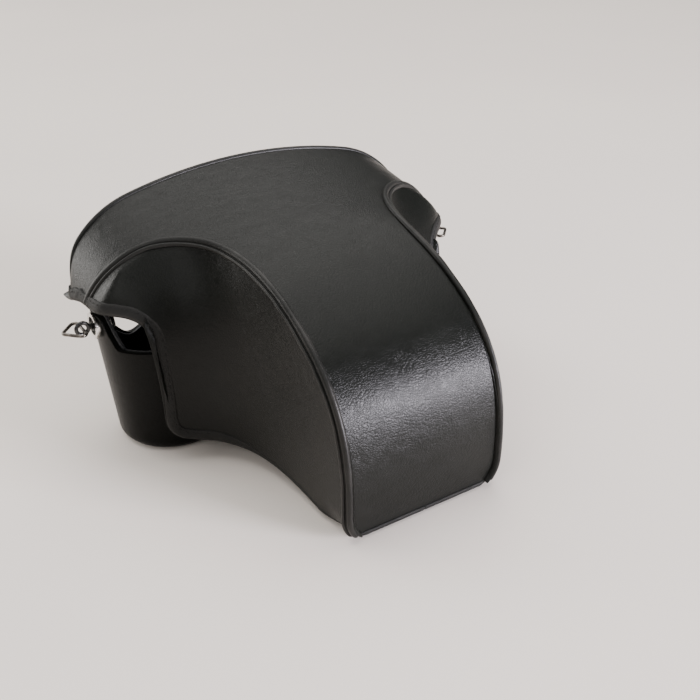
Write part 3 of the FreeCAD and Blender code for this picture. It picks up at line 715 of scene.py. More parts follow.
# Cover ----------------------------------------------------------------------------------------
@dataclass
class CoverForm:
    """Closed outer form of the cover, as a depth below its surface in millimetres."""

    half_width: float = 76.6
    back_y: float = 24.2
    top_z: float = 93.0
    arch_radius: float = 186.0
    shoulder_radius: float = 40.0
    roof_fall: float = 0.17
    nose_half_width: float = 30.6
    blend: float = 3.0
    nose_top: tuple = ((12.0, 102.3), (-8.0, 94.6), (-26.0, 87.8), (-44.0, 80.9), (-60.0, 75.0), (-75.0, 68.0),
                       (-88.0, 58.8), (-97.0, 46.8), (-101.2, 33.0), (-102.0, 18.0), (-100.8, 3.0), (-98.5, -12.0))
    wall_plan: tuple = ((-56.0, 24.2), (-68.3, 21.8), (-75.2, 13.5), (-76.6, 3.0), (-74.6, -9.5), (-68.6, -19.6),
                        (-60.5, -25.2), (-51.5, -28.6), (-43.0, -34.5), (-36.0, -45.0), (-32.0, -60.0),
                        (-30.6, -78.0), (-30.6, -112.0))
    band_plan: tuple = ((-56.0, 24.2), (-68.3, 21.8), (-75.2, 13.5), (-76.6, 4.0), (-72.6, -1.2), (-64.0, -5.4),
                        (-54.0, -9.6), (-44.5, -15.8), (-37.0, -24.6), (-32.6, -37.0), (-30.8, -54.0),
                        (-30.6, -76.0), (-30.6, -112.0))
    foot_height: float = 11.5
    foot_turn: float = 8.0
    lean: tuple = ((-12.0, 0.0), (42.0, 0.0), (53.0, 0.08), (62.0, 0.27), (70.0, 0.56), (76.0, 0.84),
                   (80.5, 1.0), (118.0, 1.0))

    def __post_init__(self) -> None:
        """Sample the plans, the nose line and the lean."""
        walls, bands = np.array(self.wall_plan), np.array(self.band_plan)
        knots = np.concatenate([[0.0], np.cumsum(np.linalg.norm(np.diff(walls + bands, axis=0), axis=1) / 2)])
        self.reach = knots[-1]
        self.wall = Spline(walls, knots)
        self.band = Spline(bands, knots)
        self.nose = Spline(self.nose_top)
        self.nose_line = self.nose.run(160)
        s = np.linspace(0.0, self.reach, 110)
        ends = np.array([[0.0, self.back_y]])
        self.wall_line = np.concatenate([ends, self.wall.at(s)])
        self.band_line = np.concatenate([ends, self.band.at(s)])
        self.centre_z = self.top_z - self.arch_radius
        self.corner_x = self.half_width - self.shoulder_radius
        self.corner_z = self.centre_z + math.sqrt((self.arch_radius - self.shoulder_radius) ** 2
                                                  - self.corner_x ** 2)
        self.meet_x = self.corner_x * self.arch_radius / (self.arch_radius - self.shoulder_radius)

    def nose_inset(self, z: Array) -> Array:
        """How far the nose's front corners turn in at its foot."""
        share = np.clip((self.foot_height - np.asarray(z, float)) / self.foot_height, 0.0, 1.0)
        return self.foot_turn * (1.0 - np.sqrt(1.0 - 0.97 * share ** 2))

    def tuck(self, y: Array, z: Array) -> Array:
        """How far the side wall turns in towards the nose's front corners."""
        return self.nose_inset(z) * ease((-82.0 - np.asarray(y, float)) / 15.0)

    def lean_at(self, z: Array) -> Array:
        """Share of the lean from the wall plan to the band plan at a height."""
        levels = np.array(self.lean)
        low = np.interp(z - 2.5, levels[:, 0], levels[:, 1])
        high = np.interp(z + 2.5, levels[:, 0], levels[:, 1])
        return 0.5 * (low + high)

    def side_point(self, s: Array, z: Array) -> Array:
        """Points of the left side wall by plan run and height."""
        share = self.lean_at(z)[:, None]
        plan = self.wall.at(s) * (1 - share) + self.band.at(s) * share
        return np.column_stack([plan[:, 0] + self.tuck(plan[:, 1], z), plan[:, 1], z])

    def roof_z(self, x: Array, y: Array) -> Array:
        """Height of the roof over a point in plan."""
        x = np.minimum(np.abs(x), self.half_width - 1e-3)
        arch = self.centre_z + np.sqrt(self.arch_radius ** 2 - x ** 2)
        out = np.clip(x - self.corner_x, 0.0, self.shoulder_radius)
        shoulder = self.corner_z + np.sqrt(self.shoulder_radius ** 2 - out ** 2)
        return np.where(x < self.meet_x, arch, shoulder) - self.roof_fall * (self.back_y - y)

    @staticmethod
    def _least(a: Array, b: Array, reach: float) -> Array:
        """Smaller of two depths, with a soft change between them."""
        near = np.maximum(reach - np.abs(a - b), 0.0) / reach
        return np.minimum(a, b) - near ** 2 * reach * 0.25

    @staticmethod
    def _line_depth(p: Array, line: Array) -> Array:
        """Signed distance from points to a polyline each, positive to the left of its run."""
        a, b = line[:, :-1], line[:, 1:]
        step = b - a
        gap = p[:, None, :] - a
        share = np.clip(np.sum(gap * step, 2) / np.maximum(np.sum(step * step, 2), 1e-9), 0.0, 1.0)
        off = gap - step * share[:, :, None]
        size = np.linalg.norm(off, axis=2)
        k = np.argmin(size, axis=1)
        rows = np.arange(len(p))
        turn = step[rows, k, 0] * gap[rows, k, 1] - step[rows, k, 1] * gap[rows, k, 0]
        return size[rows, k] * np.sign(turn)

    def depth(self, p: Array) -> Array:
        """Depth of points below the cover's outer surface."""
        x, y, z = np.abs(p[:, 0]), p[:, 1], p[:, 2]
        level = z + self.roof_fall * (self.back_y - y)
        slope = 1.0 / math.sqrt(1.0 + self.roof_fall ** 2)
        arch = self.arch_radius - np.hypot(x, level - self.centre_z)
        shoulder = self.shoulder_radius - np.hypot(np.maximum(x - self.corner_x, 0.0), level - self.corner_z)
        upright = np.where(level > self.corner_z, shoulder, self.half_width - x)
        over = (level - self.centre_z) * self.meet_x > x * (self.corner_z - self.centre_z) * self.meet_x \
            / self.corner_x
        roof = np.where(over, arch, upright) * slope
        nose = self._line_depth(np.column_stack([y, z]), np.broadcast_to(self.nose_line[None], (len(p), 160, 2)))
        share = self.lean_at(z)[:, None, None]
        plan = self.wall_line[None] * (1 - share) + self.band_line[None] * share
        side = self._line_depth(np.column_stack([-x - self.tuck(y, z), y]), plan)
        top = self._least(roof, nose, self.blend)
        return self._least(top, side, 1.2)

    def slope(self, p: Array) -> Array:
        """Outward direction at points."""
        step = 0.35
        found = np.zeros_like(p)
        for k in range(3):
            move = np.zeros(3)
            move[k] = step
            found[:, k] = self.depth(p - move) - self.depth(p + move)
        return found / rowwise(found)

    def settle_on(self, p: Array, below: float = 0.0, rounds: int = 2) -> Array:
        """Move points on to the surface, or to a depth below it."""
        p = np.array(p, float)
        for _ in range(rounds):
            p = p + self.slope(p) * (self.depth(p) - below)[:, None]
        return p


@dataclass
class Cover:
    """The cover: top band, side panels, back panel, piping, edge tape and thread."""

    form: CoverForm = field(default_factory=CoverForm)
    leather: float = 2.0
    seam_foot_z: float = 1.4
    edge_z: float = 58.5
    back_sag: float = 3.5
    side_edge_x: float = 59.5
    side_edge_z: float = 9.0
    side_corner: float = 9.0
    front_y: float = -26.2
    nose_front_y: float = -102.0
    nose_lift: float = 0.6
    back_seam_y: float = 21.2
    piping_half_width: float = 1.5
    piping_proud: float = 1.0
    tape_width: float = 4.5
    tape_skin: float = 0.65
    tape_inner: float = 2.7
    end_x: float = -75.5           # the crease starts inside this x
    nose_turn_y: float = -79.0     # beyond this y the crease follows the nose line down
    upright_y: float = -90.0       # beyond this y the band's width is read by height
    roof_end_y: float = -75.0      # beyond this y the roof no longer reaches over the nose
    tip_y: float = -100.6          # the side panel's lower edge ends at this y
    # matched points on the lower edge and the crease, which keep a side panel's grid upright
    end_marks: tuple = ((-70.0, 58.5), (-59.5, 46.0), (-58.5, 14.0))
    foot_marks: tuple = (-34.5, -60.0, -88.0)
    arch_marks: tuple = (-69.0, -61.5, -51.5)
    nose_marks: tuple = ((-19.0, 84.0), (-52.0, 77.0), (-93.0, 53.0))

    def crease(self) -> Array:
        """Line where the left side panel meets the top band, from the end's edge to the nose tip."""
        form = self.form
        plan = Spline([(-90.0, 5.0), (-80.0, 1.5)] + list(form.band_plan[4:])).run(700)
        plan = plan[(plan[:, 0] > self.end_x) & (plan[:, 1] > self.nose_turn_y)]
        nose_z = np.interp(plan[:, 1], form.nose_line[::-1, 0], form.nose_line[::-1, 1])
        roof = form.roof_z(plan[:, 0], plan[:, 1])
        upper = np.column_stack([plan, form._least(roof, nose_z, form.blend)])
        upper = upper[upper[:, 2] >= self.edge_z]
        nose = form.nose.run(500)
        nose = nose[(nose[:, 0] < upper[-1, 1] - 0.5) & (nose[:, 1] > self.seam_foot_z)]
        lower = np.column_stack([form.nose_inset(nose[:, 1]) - form.nose_half_width, nose])
        return soften(resample(np.concatenate([upper, lower]), 260), 3)

    def end_edge(self, y: Array) -> Array:
        """Height of the lower edge round the ends and the back, a little lower behind."""
        return self.edge_z - self.back_sag * ease((np.asarray(y, float) - 2.0) / 15.0)

    def edge_height(self, y: float) -> float:
        """Height of the lower edge beside and under the nose."""
        slope = (self.side_edge_z - self.nose_lift) / (self.front_y - self.nose_front_y)
        return self.side_edge_z + slope * min(y - self.front_y, 0.0)

    def front_edge(self) -> Array:
        """Lower edge of the left side panel, from the end to the nose tip."""
        form, x, corner = self.form, self.side_edge_x, self.side_corner
        high, low = self.edge_z - corner, self.side_edge_z + corner
        outline = [(-v, self.edge_z) for v in np.linspace(74.9, x + corner, 5)]
        outline += arc(-x - corner, high, corner, 90, 0)
        outline += [(-x, z) for z in np.linspace(high, low, 16)]
        outline += arc(-x + corner, low, corner, 180, 270)
        outline = resample(np.array(outline), 110)
        s = np.linspace(0.25 * form.reach, form.reach, 700)
        points = []
        for px, pz in outline:
            line = form.side_point(s, np.full(len(s), pz))
            points.append((px, np.interp(px, line[:, 0], line[:, 1]), pz))
        wall = form.wall.at(s)
        wall = wall[(wall[:, 0] > points[-1][0] + 0.4) & (wall[:, 1] > self.tip_y)]
        foot = np.array([self.edge_height(py) for py in wall[:, 1]])
        points += list(np.column_stack([wall[:, 0] + form.tuck(wall[:, 1], foot), wall[:, 1], foot]))
        return resample(np.array(points), 260)

    def back_edge(self) -> Array:
        """Lower edge from the middle of the back round the left end."""
        wall = self.form.wall.at(np.linspace(0.0, self.form.reach, 900))
        wall = np.concatenate([[(0.0, self.form.back_y), (-28.0, self.form.back_y)], wall[wall[:, 1] > 0.8]])
        points = resample(np.column_stack([wall, self.end_edge(wall[:, 1])]), 90)
        return self.form.settle_on(points)

    def panel_grid(self) -> tuple[Array, int, int]:
        """Points of the left side panel between its lower edge and the crease."""
        form = self.form
        low, high = self.front_edge(), self.crease()
        # share of the grid's columns at each pair of matched points
        stations = [0.0, 0.035, 0.10, 0.22, 0.35, 0.55, 0.80, 1.0]
        columns, rows = 170, 36
        length_low = np.linspace(0, 1, len(low))
        length_high = np.linspace(0, 1, len(high))
        picks_low = [0.0]
        picks_low += [length_low[np.argmin(np.hypot(low[:, 0] - a, low[:, 2] - b))] for a, b in self.end_marks]
        picks_low += [length_low[np.argmin(np.abs(low[:, 1] - y))] for y in self.foot_marks] + [1.0]
        picks_high = [0.0]
        picks_high += [length_high[np.argmin(np.abs(high[:, 0] - x))] for x in self.arch_marks]
        picks_high += [length_high[np.argmin(np.hypot(high[:, 1] - y, 0.2 * (high[:, 2] - z)))]
                       for y, z in self.nose_marks] + [1.0]
        t = np.linspace(0.0, 1.0, columns)
        at_low = np.interp(t, stations, picks_low)
        at_high = np.interp(t, stations, picks_high)
        low, high = pick(at_low, length_low, low), pick(at_high, length_high, high)
        # plan run along the wall at each end of a column
        s = np.linspace(0.0, form.reach, 900)
        run_low, run_high = self._plan_run(low, s), self._plan_run(high, s)
        grid = []
        for v in np.linspace(0.0, 1.0, rows):
            z = low[:, 2] * (1 - v) + high[:, 2] * v
            run = run_low * (1 - v) + run_high * v
            grid.append(form.side_point(run, z))
        points = form.settle_on(np.concatenate(grid)).reshape(rows, columns, 3)
        points[0], points[-1] = form.settle_on(low), high
        # leather between two seams stands a little proud of them
        across = np.sin(np.pi * np.linspace(0, 1, rows))[:, None] ** 0.8
        along = np.sin(np.pi * np.clip(t * 1.02, 0, 1))[None, :] ** 0.6
        flat = points.reshape(-1, 3)
        flat = flat + form.slope(flat) * (0.9 * across * along).reshape(-1, 1)
        return flat, rows, columns

    def _plan_run(self, points: Array, s: Array) -> Array:
        """Plan run of points that lie near the left side wall."""
        share = self.form.lean_at(points[:, 2])[:, None, None]
        plan = self.form.wall.at(s)[None] * (1 - share) + self.form.band.at(s)[None] * share
        gap = np.hypot(plan[:, :, 0] - points[:, :1], plan[:, :, 1] - points[:, 1:2])
        gap[:, s < 0.2 * self.form.reach] += FAR * (points[:, 1:2] < 2.0)
        return s[np.argmin(gap, axis=1)]

    def band_grid(self) -> tuple[Array, int, int]:
        """Points of the top band, from the back seam over the top and down the nose."""
        form = self.form
        crease = self.crease()
        columns = 91
        shares = np.linspace(-1.0, 1.0, columns)
        profile_x = np.concatenate([np.linspace(0.0, 60.0, 120), np.linspace(60.2, form.half_width - 0.01, 160)])
        profile_z = form.roof_z(profile_x, np.full(len(profile_x), form.back_y))
        arc_length = np.concatenate([[0.0], np.cumsum(np.hypot(np.diff(profile_x), np.diff(profile_z)))])
        grid = []
        start_y = crease[0, 1]
        for y in np.concatenate([np.linspace(self.back_seam_y, start_y, 14)[:-1], np.linspace(start_y, -30.0, 26)]):
            fall = form.roof_fall * (form.back_y - y)
            if y > start_y:
                end = np.interp(-(self.end_edge(y) + fall), -profile_z, arc_length)
            else:
                ahead = crease[:, 1][::-1]
                end = np.interp(-np.interp(y, ahead, crease[:, 0][::-1]), profile_x, arc_length)
            run = np.abs(shares) * end
            x = np.interp(run, arc_length, profile_x) * np.sign(shares)
            z = np.interp(run, arc_length, profile_z) - fall
            grid.append(np.column_stack([x, np.full(columns, y), z]))
        nose = form.nose.run(600)
        nose = resample(nose[(nose[:, 0] < -32.0) & (nose[:, 1] > self.seam_foot_z)], 52)
        for y, top in nose:
            half = -np.interp(y, crease[:, 1][::-1], crease[:, 0][::-1])
            if y < self.upright_y:
                half = form.nose_half_width - form.nose_inset(top)
            x = shares * half
            roof = form.roof_z(x, np.full(columns, y)) if y > self.roof_end_y else np.full(columns, FAR)
            z = form._least(roof, np.full(columns, top), form.blend)
            grid.append(np.column_stack([x, np.full(columns, y), z]))
        rows = len(grid)
        points = np.array(grid)
        inner = form.settle_on(points[:, 1:-1].reshape(-1, 3)).reshape(rows, columns - 2, 3)
        points[:, 1:-1] = inner
        return points.reshape(-1, 3), rows, columns

    def seam_line(self) -> Array:
        """Back seam over the top, from the left end's edge to the right's."""
        points, _, columns = self.band_grid()
        return self.form.settle_on(points[:columns])

    def back_grid(self) -> tuple[Array, int, int]:
        """Points of the crowned back panel."""
        top = self.seam_line()
        columns, rows = len(top), 26
        half = abs(top[0, 0])
        foot_x = np.linspace(-half, half, columns)
        grid = []
        for v in np.linspace(0.0, 1.0, rows) ** 1.6:
            x = top[:, 0] * (1 - v) + foot_x * v
            z = top[:, 2] * (1 - v) + self.end_edge(self.back_seam_y) * v
            away = np.hypot(x - top[:, 0], z - top[:, 2])
            reach = 3.5 + 9.0 * np.abs(foot_x / half) ** 4
            rise = np.sqrt(1.0 - (1.0 - np.clip(away / reach, 0.0, 1.0)) ** 2)
            y = self.back_seam_y + (self.form.back_y - self.back_seam_y) * rise
            grid.append(np.column_stack([x, y, z]))
        return np.concatenate(grid), rows, columns

    def _sheet(self, name: str, grid: tuple[Array, int, int], behind: tuple[float, float, float],
               mirror: bool = False) -> bpy.types.Object:
        """Leather sheet of a grid, thickened inwards and marked where it is rubbed."""
        points, rows, columns = grid
        flip = np.array([-1.0, 1.0, 1.0]) if mirror else np.ones(3)
        piece = make_piece(name, points * flip, grid_faces(rows, columns), np.array(behind) * flip)
        thicken(piece, self.leather, levels=1)
        mark_by_curvature(piece)
        return piece

    def piping_section(self) -> Array:
        """Double welt: a flat-topped bead beside the band's rolled edge, with a groove between."""
        w, h = self.piping_half_width, self.piping_proud
        return np.array([(-w - 0.2, -1.2), (-w - 0.2, 0.0), (-w, h * 0.62), (-w * 0.62, h), (-w * 0.05, h * 0.92),
                         (w * 0.34, h * 0.62), (w * 0.52, h * 0.02), (w * 0.66, h * 0.05), (w * 0.84, h * 0.62),
                         (w * 1.15, h * 0.72), (w * 1.42, h * 0.42), (w * 1.55, -0.1), (w * 1.55, -1.2)])

    def piping(self, side: Side) -> bpy.types.Object:
        """Piping along one crease."""
        path = self.crease()[:-2]
        normals = self.form.slope(path)
        rng = np.random.default_rng(11)
        ripple = soften(rng.normal(0.0, 0.06, (len(path), 1)), 6)
        section = self.piping_section()
        piece = sweep(f"{side.word}_piping_welt", path, normals, section,
                      jitter=np.repeat(ripple, len(section), 1))
        return self._finish_bar(piece, side)

    def _finish_bar(self, piece: bpy.types.Object, side: Side, levels: int = 1) -> bpy.types.Object:
        """Mirror a left bar to its side, smooth it and mark its rubbed ridges."""
        if side is Side.RIGHT:
            piece.data.transform(Matrix.Diagonal((-1.0, 1.0, 1.0, 1.0)))
            piece.data.flip_normals()
        smooth = piece.modifiers.new("smooth", "SUBSURF")
        smooth.levels = smooth.render_levels = levels
        settle(piece)
        mark_by_curvature(piece, 6.0, 24.0)
        return piece

    def back_piping(self) -> bpy.types.Object:
        """Piping over the back seam."""
        path = soften(resample(self.seam_line(), 200), 2)
        section = rounded_bar(0.75 * self.piping_half_width, -1.4, 0.7 * self.piping_proud, 0.8)
        normals = self.form.slope(path) + np.array([0.0, 0.25, 0.0])
        piece = sweep("back_piping_welt", path, normals, section)
        return self._finish_bar(piece, Side.LEFT)

    def tape_path(self) -> tuple[Array, Array]:
        """Lower edge of the left half, from the middle of the back to the middle of the nose tip."""
        back, front = self.back_edge(), self.front_edge()
        tip_y, tip_z = front[-1, 1] - 0.3, front[-1, 2]
        tip = np.column_stack([np.linspace(front[-1, 0] + 1.2, 0.0, 24), np.full(24, tip_y), np.full(24, tip_z)])
        path = resample(np.concatenate([back, self.form.settle_on(front[4:]), tip]), 520)
        path = soften(path, 4)
        normals = soften(self.form.slope(path + np.array([0.0, 0.0, 1.2])), 10)
        return path, normals

    def tape_slim(self, path: Array) -> Array:
        """How much narrower the tape is at each point: only a turned edge under the nose."""
        return ease((-30.0 - path[:, 1]) / 22.0)

    def edge_tape(self, side: Side) -> bpy.types.Object:
        """Tape folded over the lower edge, gathered where it turns round the end."""
        path, normals = self.tape_path()
        skin, inner, width = self.tape_skin, self.tape_inner, self.tape_width
        # sideways is into the leather, the second axis is outward
        outline = [(width, skin - 0.25), (width - 0.25, skin), (width * 0.5, skin + 0.1), (0.9, skin),
                   (0.15, skin - 0.6), (-0.1, -1.2), (0.15, 0.6 - inner), (0.9, -inner), (width - 0.25, -inner),
                   (width, 0.25 - inner)]
        section = np.array(outline) * np.array([-1.0, 1.0])
        slim = self.tape_slim(path)[:, None]
        section = np.stack([section[:, 0] * (1.0 - 0.62 * slim),
                            np.where(section[:, 1] > 0.0, section[:, 1] * (1.0 - 0.7 * slim), section[:, 1])], axis=2)
        rng = np.random.default_rng(5)
        gather = np.exp(-((path[:, 1] - 8.0) / 9.0) ** 2) * (path[:, 2] > 50.0) * 0.28 + 0.03
        folds = soften(rng.normal(0.0, 1.0, (len(path), len(outline))), 3)
        piece = sweep(f"{side.word}_edge_tape", path, normals, section, jitter=folds * gather[:, None])
        return self._finish_bar(piece, side)

    def stitch_runs(self, side: Side) -> list[Array]:
        """Run of stitches along the tape, as far as it keeps its full width."""
        sign = np.array([1.0 if side is Side.LEFT else -1.0, 1.0, 1.0])
        path, normals = self.tape_path()
        ahead = np.gradient(path, axis=0)
        inward = np.cross(normals, ahead / rowwise(ahead))
        row = path + inward * (self.tape_width - 1.3) + normals * (self.tape_skin + 0.02)
        return [row[self.tape_slim(path) < 0.02][4:] * sign]

    def build(self, finishes: Finishes, stitches: StitchTree) -> None:
        """Make, dress and hang every leather piece of the cover."""
        inside = (0.0, 0.0, 50.0)
        pieces = {
            "top_band": (self._sheet("top_band_leather", self.band_grid(), (0.0, -10.0, 20.0)), Finish.BLACK_LEATHER),
            "back_panel": (self._sheet("back_panel_leather", self.back_grid(), (0.0, -20.0, 60.0)),
                           Finish.BLACK_LEATHER),
            "back_piping": (self.back_piping(), Finish.PIPING),
        }
        for side in Side:
            panel = self._sheet(f"{side.word}_panel_leather", self.panel_grid(), inside, side is Side.RIGHT)
            pieces[f"{side.word}_side_panel"] = (panel, Finish.BLACK_LEATHER)
            pieces[f"{side.word}_piping"] = (self.piping(side), Finish.PIPING)
            pieces[f"{side.word}_edge_binding"] = (self.edge_tape(side), Finish.BINDING)
        for node, (piece, finish) in pieces.items():
            finishes.dress(piece, finish)
            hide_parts(node)
            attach(piece, "cover")
            log.info("%s stands for %s", piece.name, node)
        for side in Side:
            thread = stitches.sew(f"{side.word}_tape_stitches", self.stitch_runs(side),
                                  finishes.material(Finish.THREAD))
            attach(thread, "cover")
            log.info("%s sewn", thread.name)


# Lower case -----------------------------------------------------------------------------------
@dataclass
class LowerCase:
    """The tray that holds the camera: walls with ears, a lens cut-out and a dipped back."""

    rim_half: tuple[float, float] = (72.0, 22.2)
    base_half: tuple[float, float] = (67.4, 20.6)
    ear_top: float = 54.4
    foot_radius: float = 4.0
    end_rim: float = 42.5
    ear_half_depth: float = 5.2
    cutout_half_width: float = 44.0
    cutout_floor: float = 15.0
    leather: float = 2.0
    cup_radius: float = 13.7
    back_crest: tuple = ((-90.0, 42.5), (-70.0, 42.5), (-61.0, 38.5), (-54.0, 33.0), (-46.0, 36.5), (-36.0, 43.5),
                         (-22.0, 48.5), (0.0, 49.5))

    def half_at(self, z: Array) -> tuple[Array, Array]:
        """Half width and half depth of the outer wall at a height."""
        share = z / self.ear_top
        return (self.base_half[0] + (self.rim_half[0] - self.base_half[0]) * share,
                self.base_half[1] + (self.rim_half[1] - self.base_half[1]) * share)

    def wall_point(self, run: Array, z: Array) -> Array:
        """Point of the left half of the wall by run from the middle of the back, and height."""
        width, depth = self.half_at(z)
        centre = width - depth
        flat = self.rim_half[0] - self.rim_half[1]
        bend = math.pi * self.rim_half[1]
        turn = np.clip((run - flat) / self.rim_half[1], 0.0, math.pi)
        foot = self.foot_radius
        tuck = np.where(z < foot, foot - np.sqrt(np.maximum(foot ** 2 - (foot - z) ** 2, 0.0)), 0.0)
        x = -centre - (depth - tuck) * np.sin(turn)
        x = np.where(run < flat, -centre * run / flat, x)
        x = np.where(run > flat + bend, -centre * (2 * flat + bend - run) / flat, x)
        return np.column_stack([x, (depth - tuck) * np.cos(turn), z])

    def rim(self) -> Array:
        """Rim of the left half as run and height, from the middle of the back to the middle of the front."""
        flat, depth = self.rim_half[0] - self.rim_half[1], self.rim_half[1]
        bend = math.pi * depth
        crest = Spline(list(self.back_crest)).run(400)
        runs = []
        for a in np.linspace(0.0, flat + bend / 2 - 0.1, 500):
            x, y, _ = self.wall_point(np.array([a]), np.array([44.0]))[0]
            height = np.interp(x, crest[:, 0], crest[:, 1])
            runs.append((a, max(height, self._ear(x, y))))
        for a in np.linspace(flat + bend / 2, 2 * flat + bend - self.cutout_half_width - 8.0, 200):
            x, y, _ = self.wall_point(np.array([a]), np.array([44.0]))[0]
            runs.append((a, max(self.end_rim, self._ear(x, y))))
        end = 2 * flat + bend
        edge = end - self.cutout_half_width
        runs += arc(edge - 8.0, self.end_rim - 8.0, 8.0, 90, 0)
        runs += [(edge, z) for z in np.linspace(self.end_rim - 8.5, self.cutout_floor + 8.5, 6)]
        runs += arc(edge + 8.0, self.cutout_floor + 8.0, 8.0, 180, 270)
        runs += [(end, self.cutout_floor)]
        return resample(soften(resample(np.array(runs), 500), 6), 210)

    def _ear(self, x: float, y: float) -> float:
        """Height of the ear over a plan point, or zero away from the ends."""
        if abs(x) < 60.0:
            return 0.0
        near = self.ear_half_depth
        return float(np.interp(abs(y), [0.0, near, near + 7.0], [self.ear_top, self.ear_top, self.end_rim - 4.0]))

    def shell_grid(self) -> tuple[Array, int, int]:
        """Points of the wall and base, closed round the case, from the screw cup to the rim."""
        rim = self.rim()
        foot_run = soften(rim[:, :1], 260)[:, 0]
        foot_run = (foot_run - foot_run[0]) * (rim[-1, 0] - rim[0, 0]) / (foot_run[-1] - foot_run[0])
        grid = []
        turn = math.pi / 2 + foot_run / foot_run[-1] * math.pi
        cup = np.column_stack([self.cup_radius * np.cos(turn), self.cup_radius * np.sin(turn), np.zeros(len(rim))])
        outline = self.wall_point(foot_run, np.zeros(len(rim)))
        for v in np.linspace(0.0, 1.0, 12)[:-1]:
            grid.append(cup * (1 - v) + outline * v)
        for lift in np.linspace(0.0, math.pi / 2, 7)[:-1]:
            grid.append(self.wall_point(foot_run, np.full(len(rim), self.foot_radius * (1 - math.cos(lift)))))
        for v in np.linspace(0.0, 1.0, 30):
            run = foot_run * (1 - v) + rim[:, 0] * v
            z = self.foot_radius * (1 - v) + rim[:, 1] * v
            grid.append(self.wall_point(run, z))
        left = np.array(grid)
        right = left[:, 1:-1][:, ::-1] * np.array([-1.0, 1.0, 1.0])
        whole = np.concatenate([left, right], axis=1)
        return whole.reshape(-1, 3), whole.shape[0], whole.shape[1]

    def shell(self) -> bpy.types.Object:
        """Leather tray."""
        points, rows, columns = self.shell_grid()
        piece = make_piece("shaded_tray_leather", points, grid_faces(rows, columns, wrap=True), (0.0, 0.0, 25.0))
        thicken(piece, self.leather, edge=0.5)
        mark_by_curvature(piece)
        return piece

    def build(self, finishes: Finishes) -> None:
        """Make, dress and hang the tray."""
        piece = self.shell()
        # the tray's darker leather colour is painted shade
        finishes.dress(piece, Finish.SHADED_TRAY_LEATHER)
        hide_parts("lower_case_shell")
        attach(piece, "lower_case")
        log.info("%s stands for lower_case_shell", piece.name)


@dataclass
class Strap:
    """Flat leather strap on a bent path, running from a fixed part of the case to a moving one."""

    name: str
    nodes: tuple[str, ...]
    bodies: tuple[str, str]
    path: tuple[tuple[float, float], ...]
    half_width: float
    thickness: float
    fold: tuple[tuple[float, float, float], tuple[float, float, float]]
    round_tip: bool = False

    def build(self, finishes: Finishes, stitches: StitchTree) -> None:
        """Make and dress the strap and its stitching."""
        line = resample(soften(resample(np.array(self.path), 90), 5), 96)
        ahead = np.gradient(line, axis=0)
        ahead /= rowwise(ahead)
        out = np.column_stack([-ahead[:, 1], ahead[:, 0]])
        left = np.concatenate([[0.0], np.cumsum(np.linalg.norm(np.diff(line, axis=0), axis=1))])
        rest = left[-1] - left
        width = np.full(len(line), self.half_width)
        if self.round_tip:
            inset = np.clip(self.half_width - rest, 0.0, self.half_width)
            width = np.sqrt(np.maximum(self.half_width ** 2 - inset ** 2, 0.04))
        bar = rounded_bar(self.half_width, -self.thickness / 2, self.thickness / 2, self.thickness * 0.36, 4)
        rings = []
        for (y, z), (oy, oz), w in zip(line, out, width):
            side = bar[:, 0] * w / self.half_width
            rings.append(np.column_stack([side, y + oy * bar[:, 1], z + oz * bar[:, 1]]))
        n, m = len(rings), len(bar)
        verts = np.concatenate(rings + [rings[0].mean(0)[None], rings[-1].mean(0)[None]])
        faces = grid_faces(n, m, wrap=True)
        faces += [(n * m, (j + 1) % m, j) for j in range(m)]
        faces += [(n * m + 1, (n - 1) * m + j, (n - 1) * m + (j + 1) % m) for j in range(m)]
        piece = make_piece(self.name, verts, faces)
        mark_by_curvature(piece, 8.0, 34.0)
        finishes.dress(piece, Finish.BLACK_LEATHER)
        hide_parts(*self.nodes)
        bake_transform(piece)
        inner = np.maximum(width - 1.6, 0.1)
        face = self.thickness / 2 + 0.02
        keep = slice(4, -7 if self.round_tip else -4)
        runs = [np.column_stack([sign * inner, line[:, 0] + out[:, 0] * face, line[:, 1] + out[:, 1] * face])[keep]
                for sign in (-1.0, 1.0)]
        thread = stitches.sew(f"{self.name}_stitches", runs, finishes.material(Finish.THREAD),
                              pitch=2.3, length=0.8, thread=0.22)
        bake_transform(thread)
        log.info("%s stands for %s", piece.name, ", ".join(self.nodes))


@dataclass
class Fittings:
    """Finishes of the parts whose made shape is already right."""

    finishes: Finishes
    nodes: dict[Finish, tuple[str, ...]] = field(default_factory=lambda: {
        Finish.BLACK_LEATHER: ("nose_floor",),
        Finish.FELT: ("lower_case_lining", "floor_pad", "cover_lining"),
        Finish.BOARD: ("base_board",),
        Finish.NICKEL: ("screw_cup", "base_hinge_rivets", "left_eyelet", "right_eyelet", "tab_rivets",
                        "snap_stud", "cover_hinge_rivets", "snap_socket"),
        Finish.WIRE: ("left_strap_ring", "right_strap_ring"),
        Finish.STEEL: ("camera_screw",),
        Finish.ENAMEL: ("snap_cap", "left_strap_lug", "right_strap_lug"),
    })

    def dress(self, frame: dict) -> None:
        """Dress every carried-over CAD node."""
        for finish, names in self.nodes.items():
            for name in names:
                self.finishes.dress_node(frame["nodes"][name], finish)
            log.info("%s: %s", finish.value.name, ", ".join(names))


# Scene ----------------------------------------------------------------------------------------
@dataclass(frozen=True)
class Lamp:
    """Soft area lamp that faces the case."""

    name: str
    place: tuple[float, float, float]
    size: tuple[float, float]
    power: float
    colour: tuple[float, float, float]

    def build(self) -> None:
        """Add the lamp to the scene."""
        light = bpy.data.lights.new(self.name, "AREA")
        light.shape = "RECTANGLE"
        light.size, light.size_y = self.size
        light.energy = self.power
        light.color = self.colour
        lamp = bpy.data.objects.new(self.name, light)
        lamp.location = self.place
        lamp.rotation_euler = (Vector((0.0, -0.04, 0.05)) - Vector(self.place)).to_track_quat("-Z", "Y").to_euler()
        bpy.context.scene.collection.objects.link(lamp)


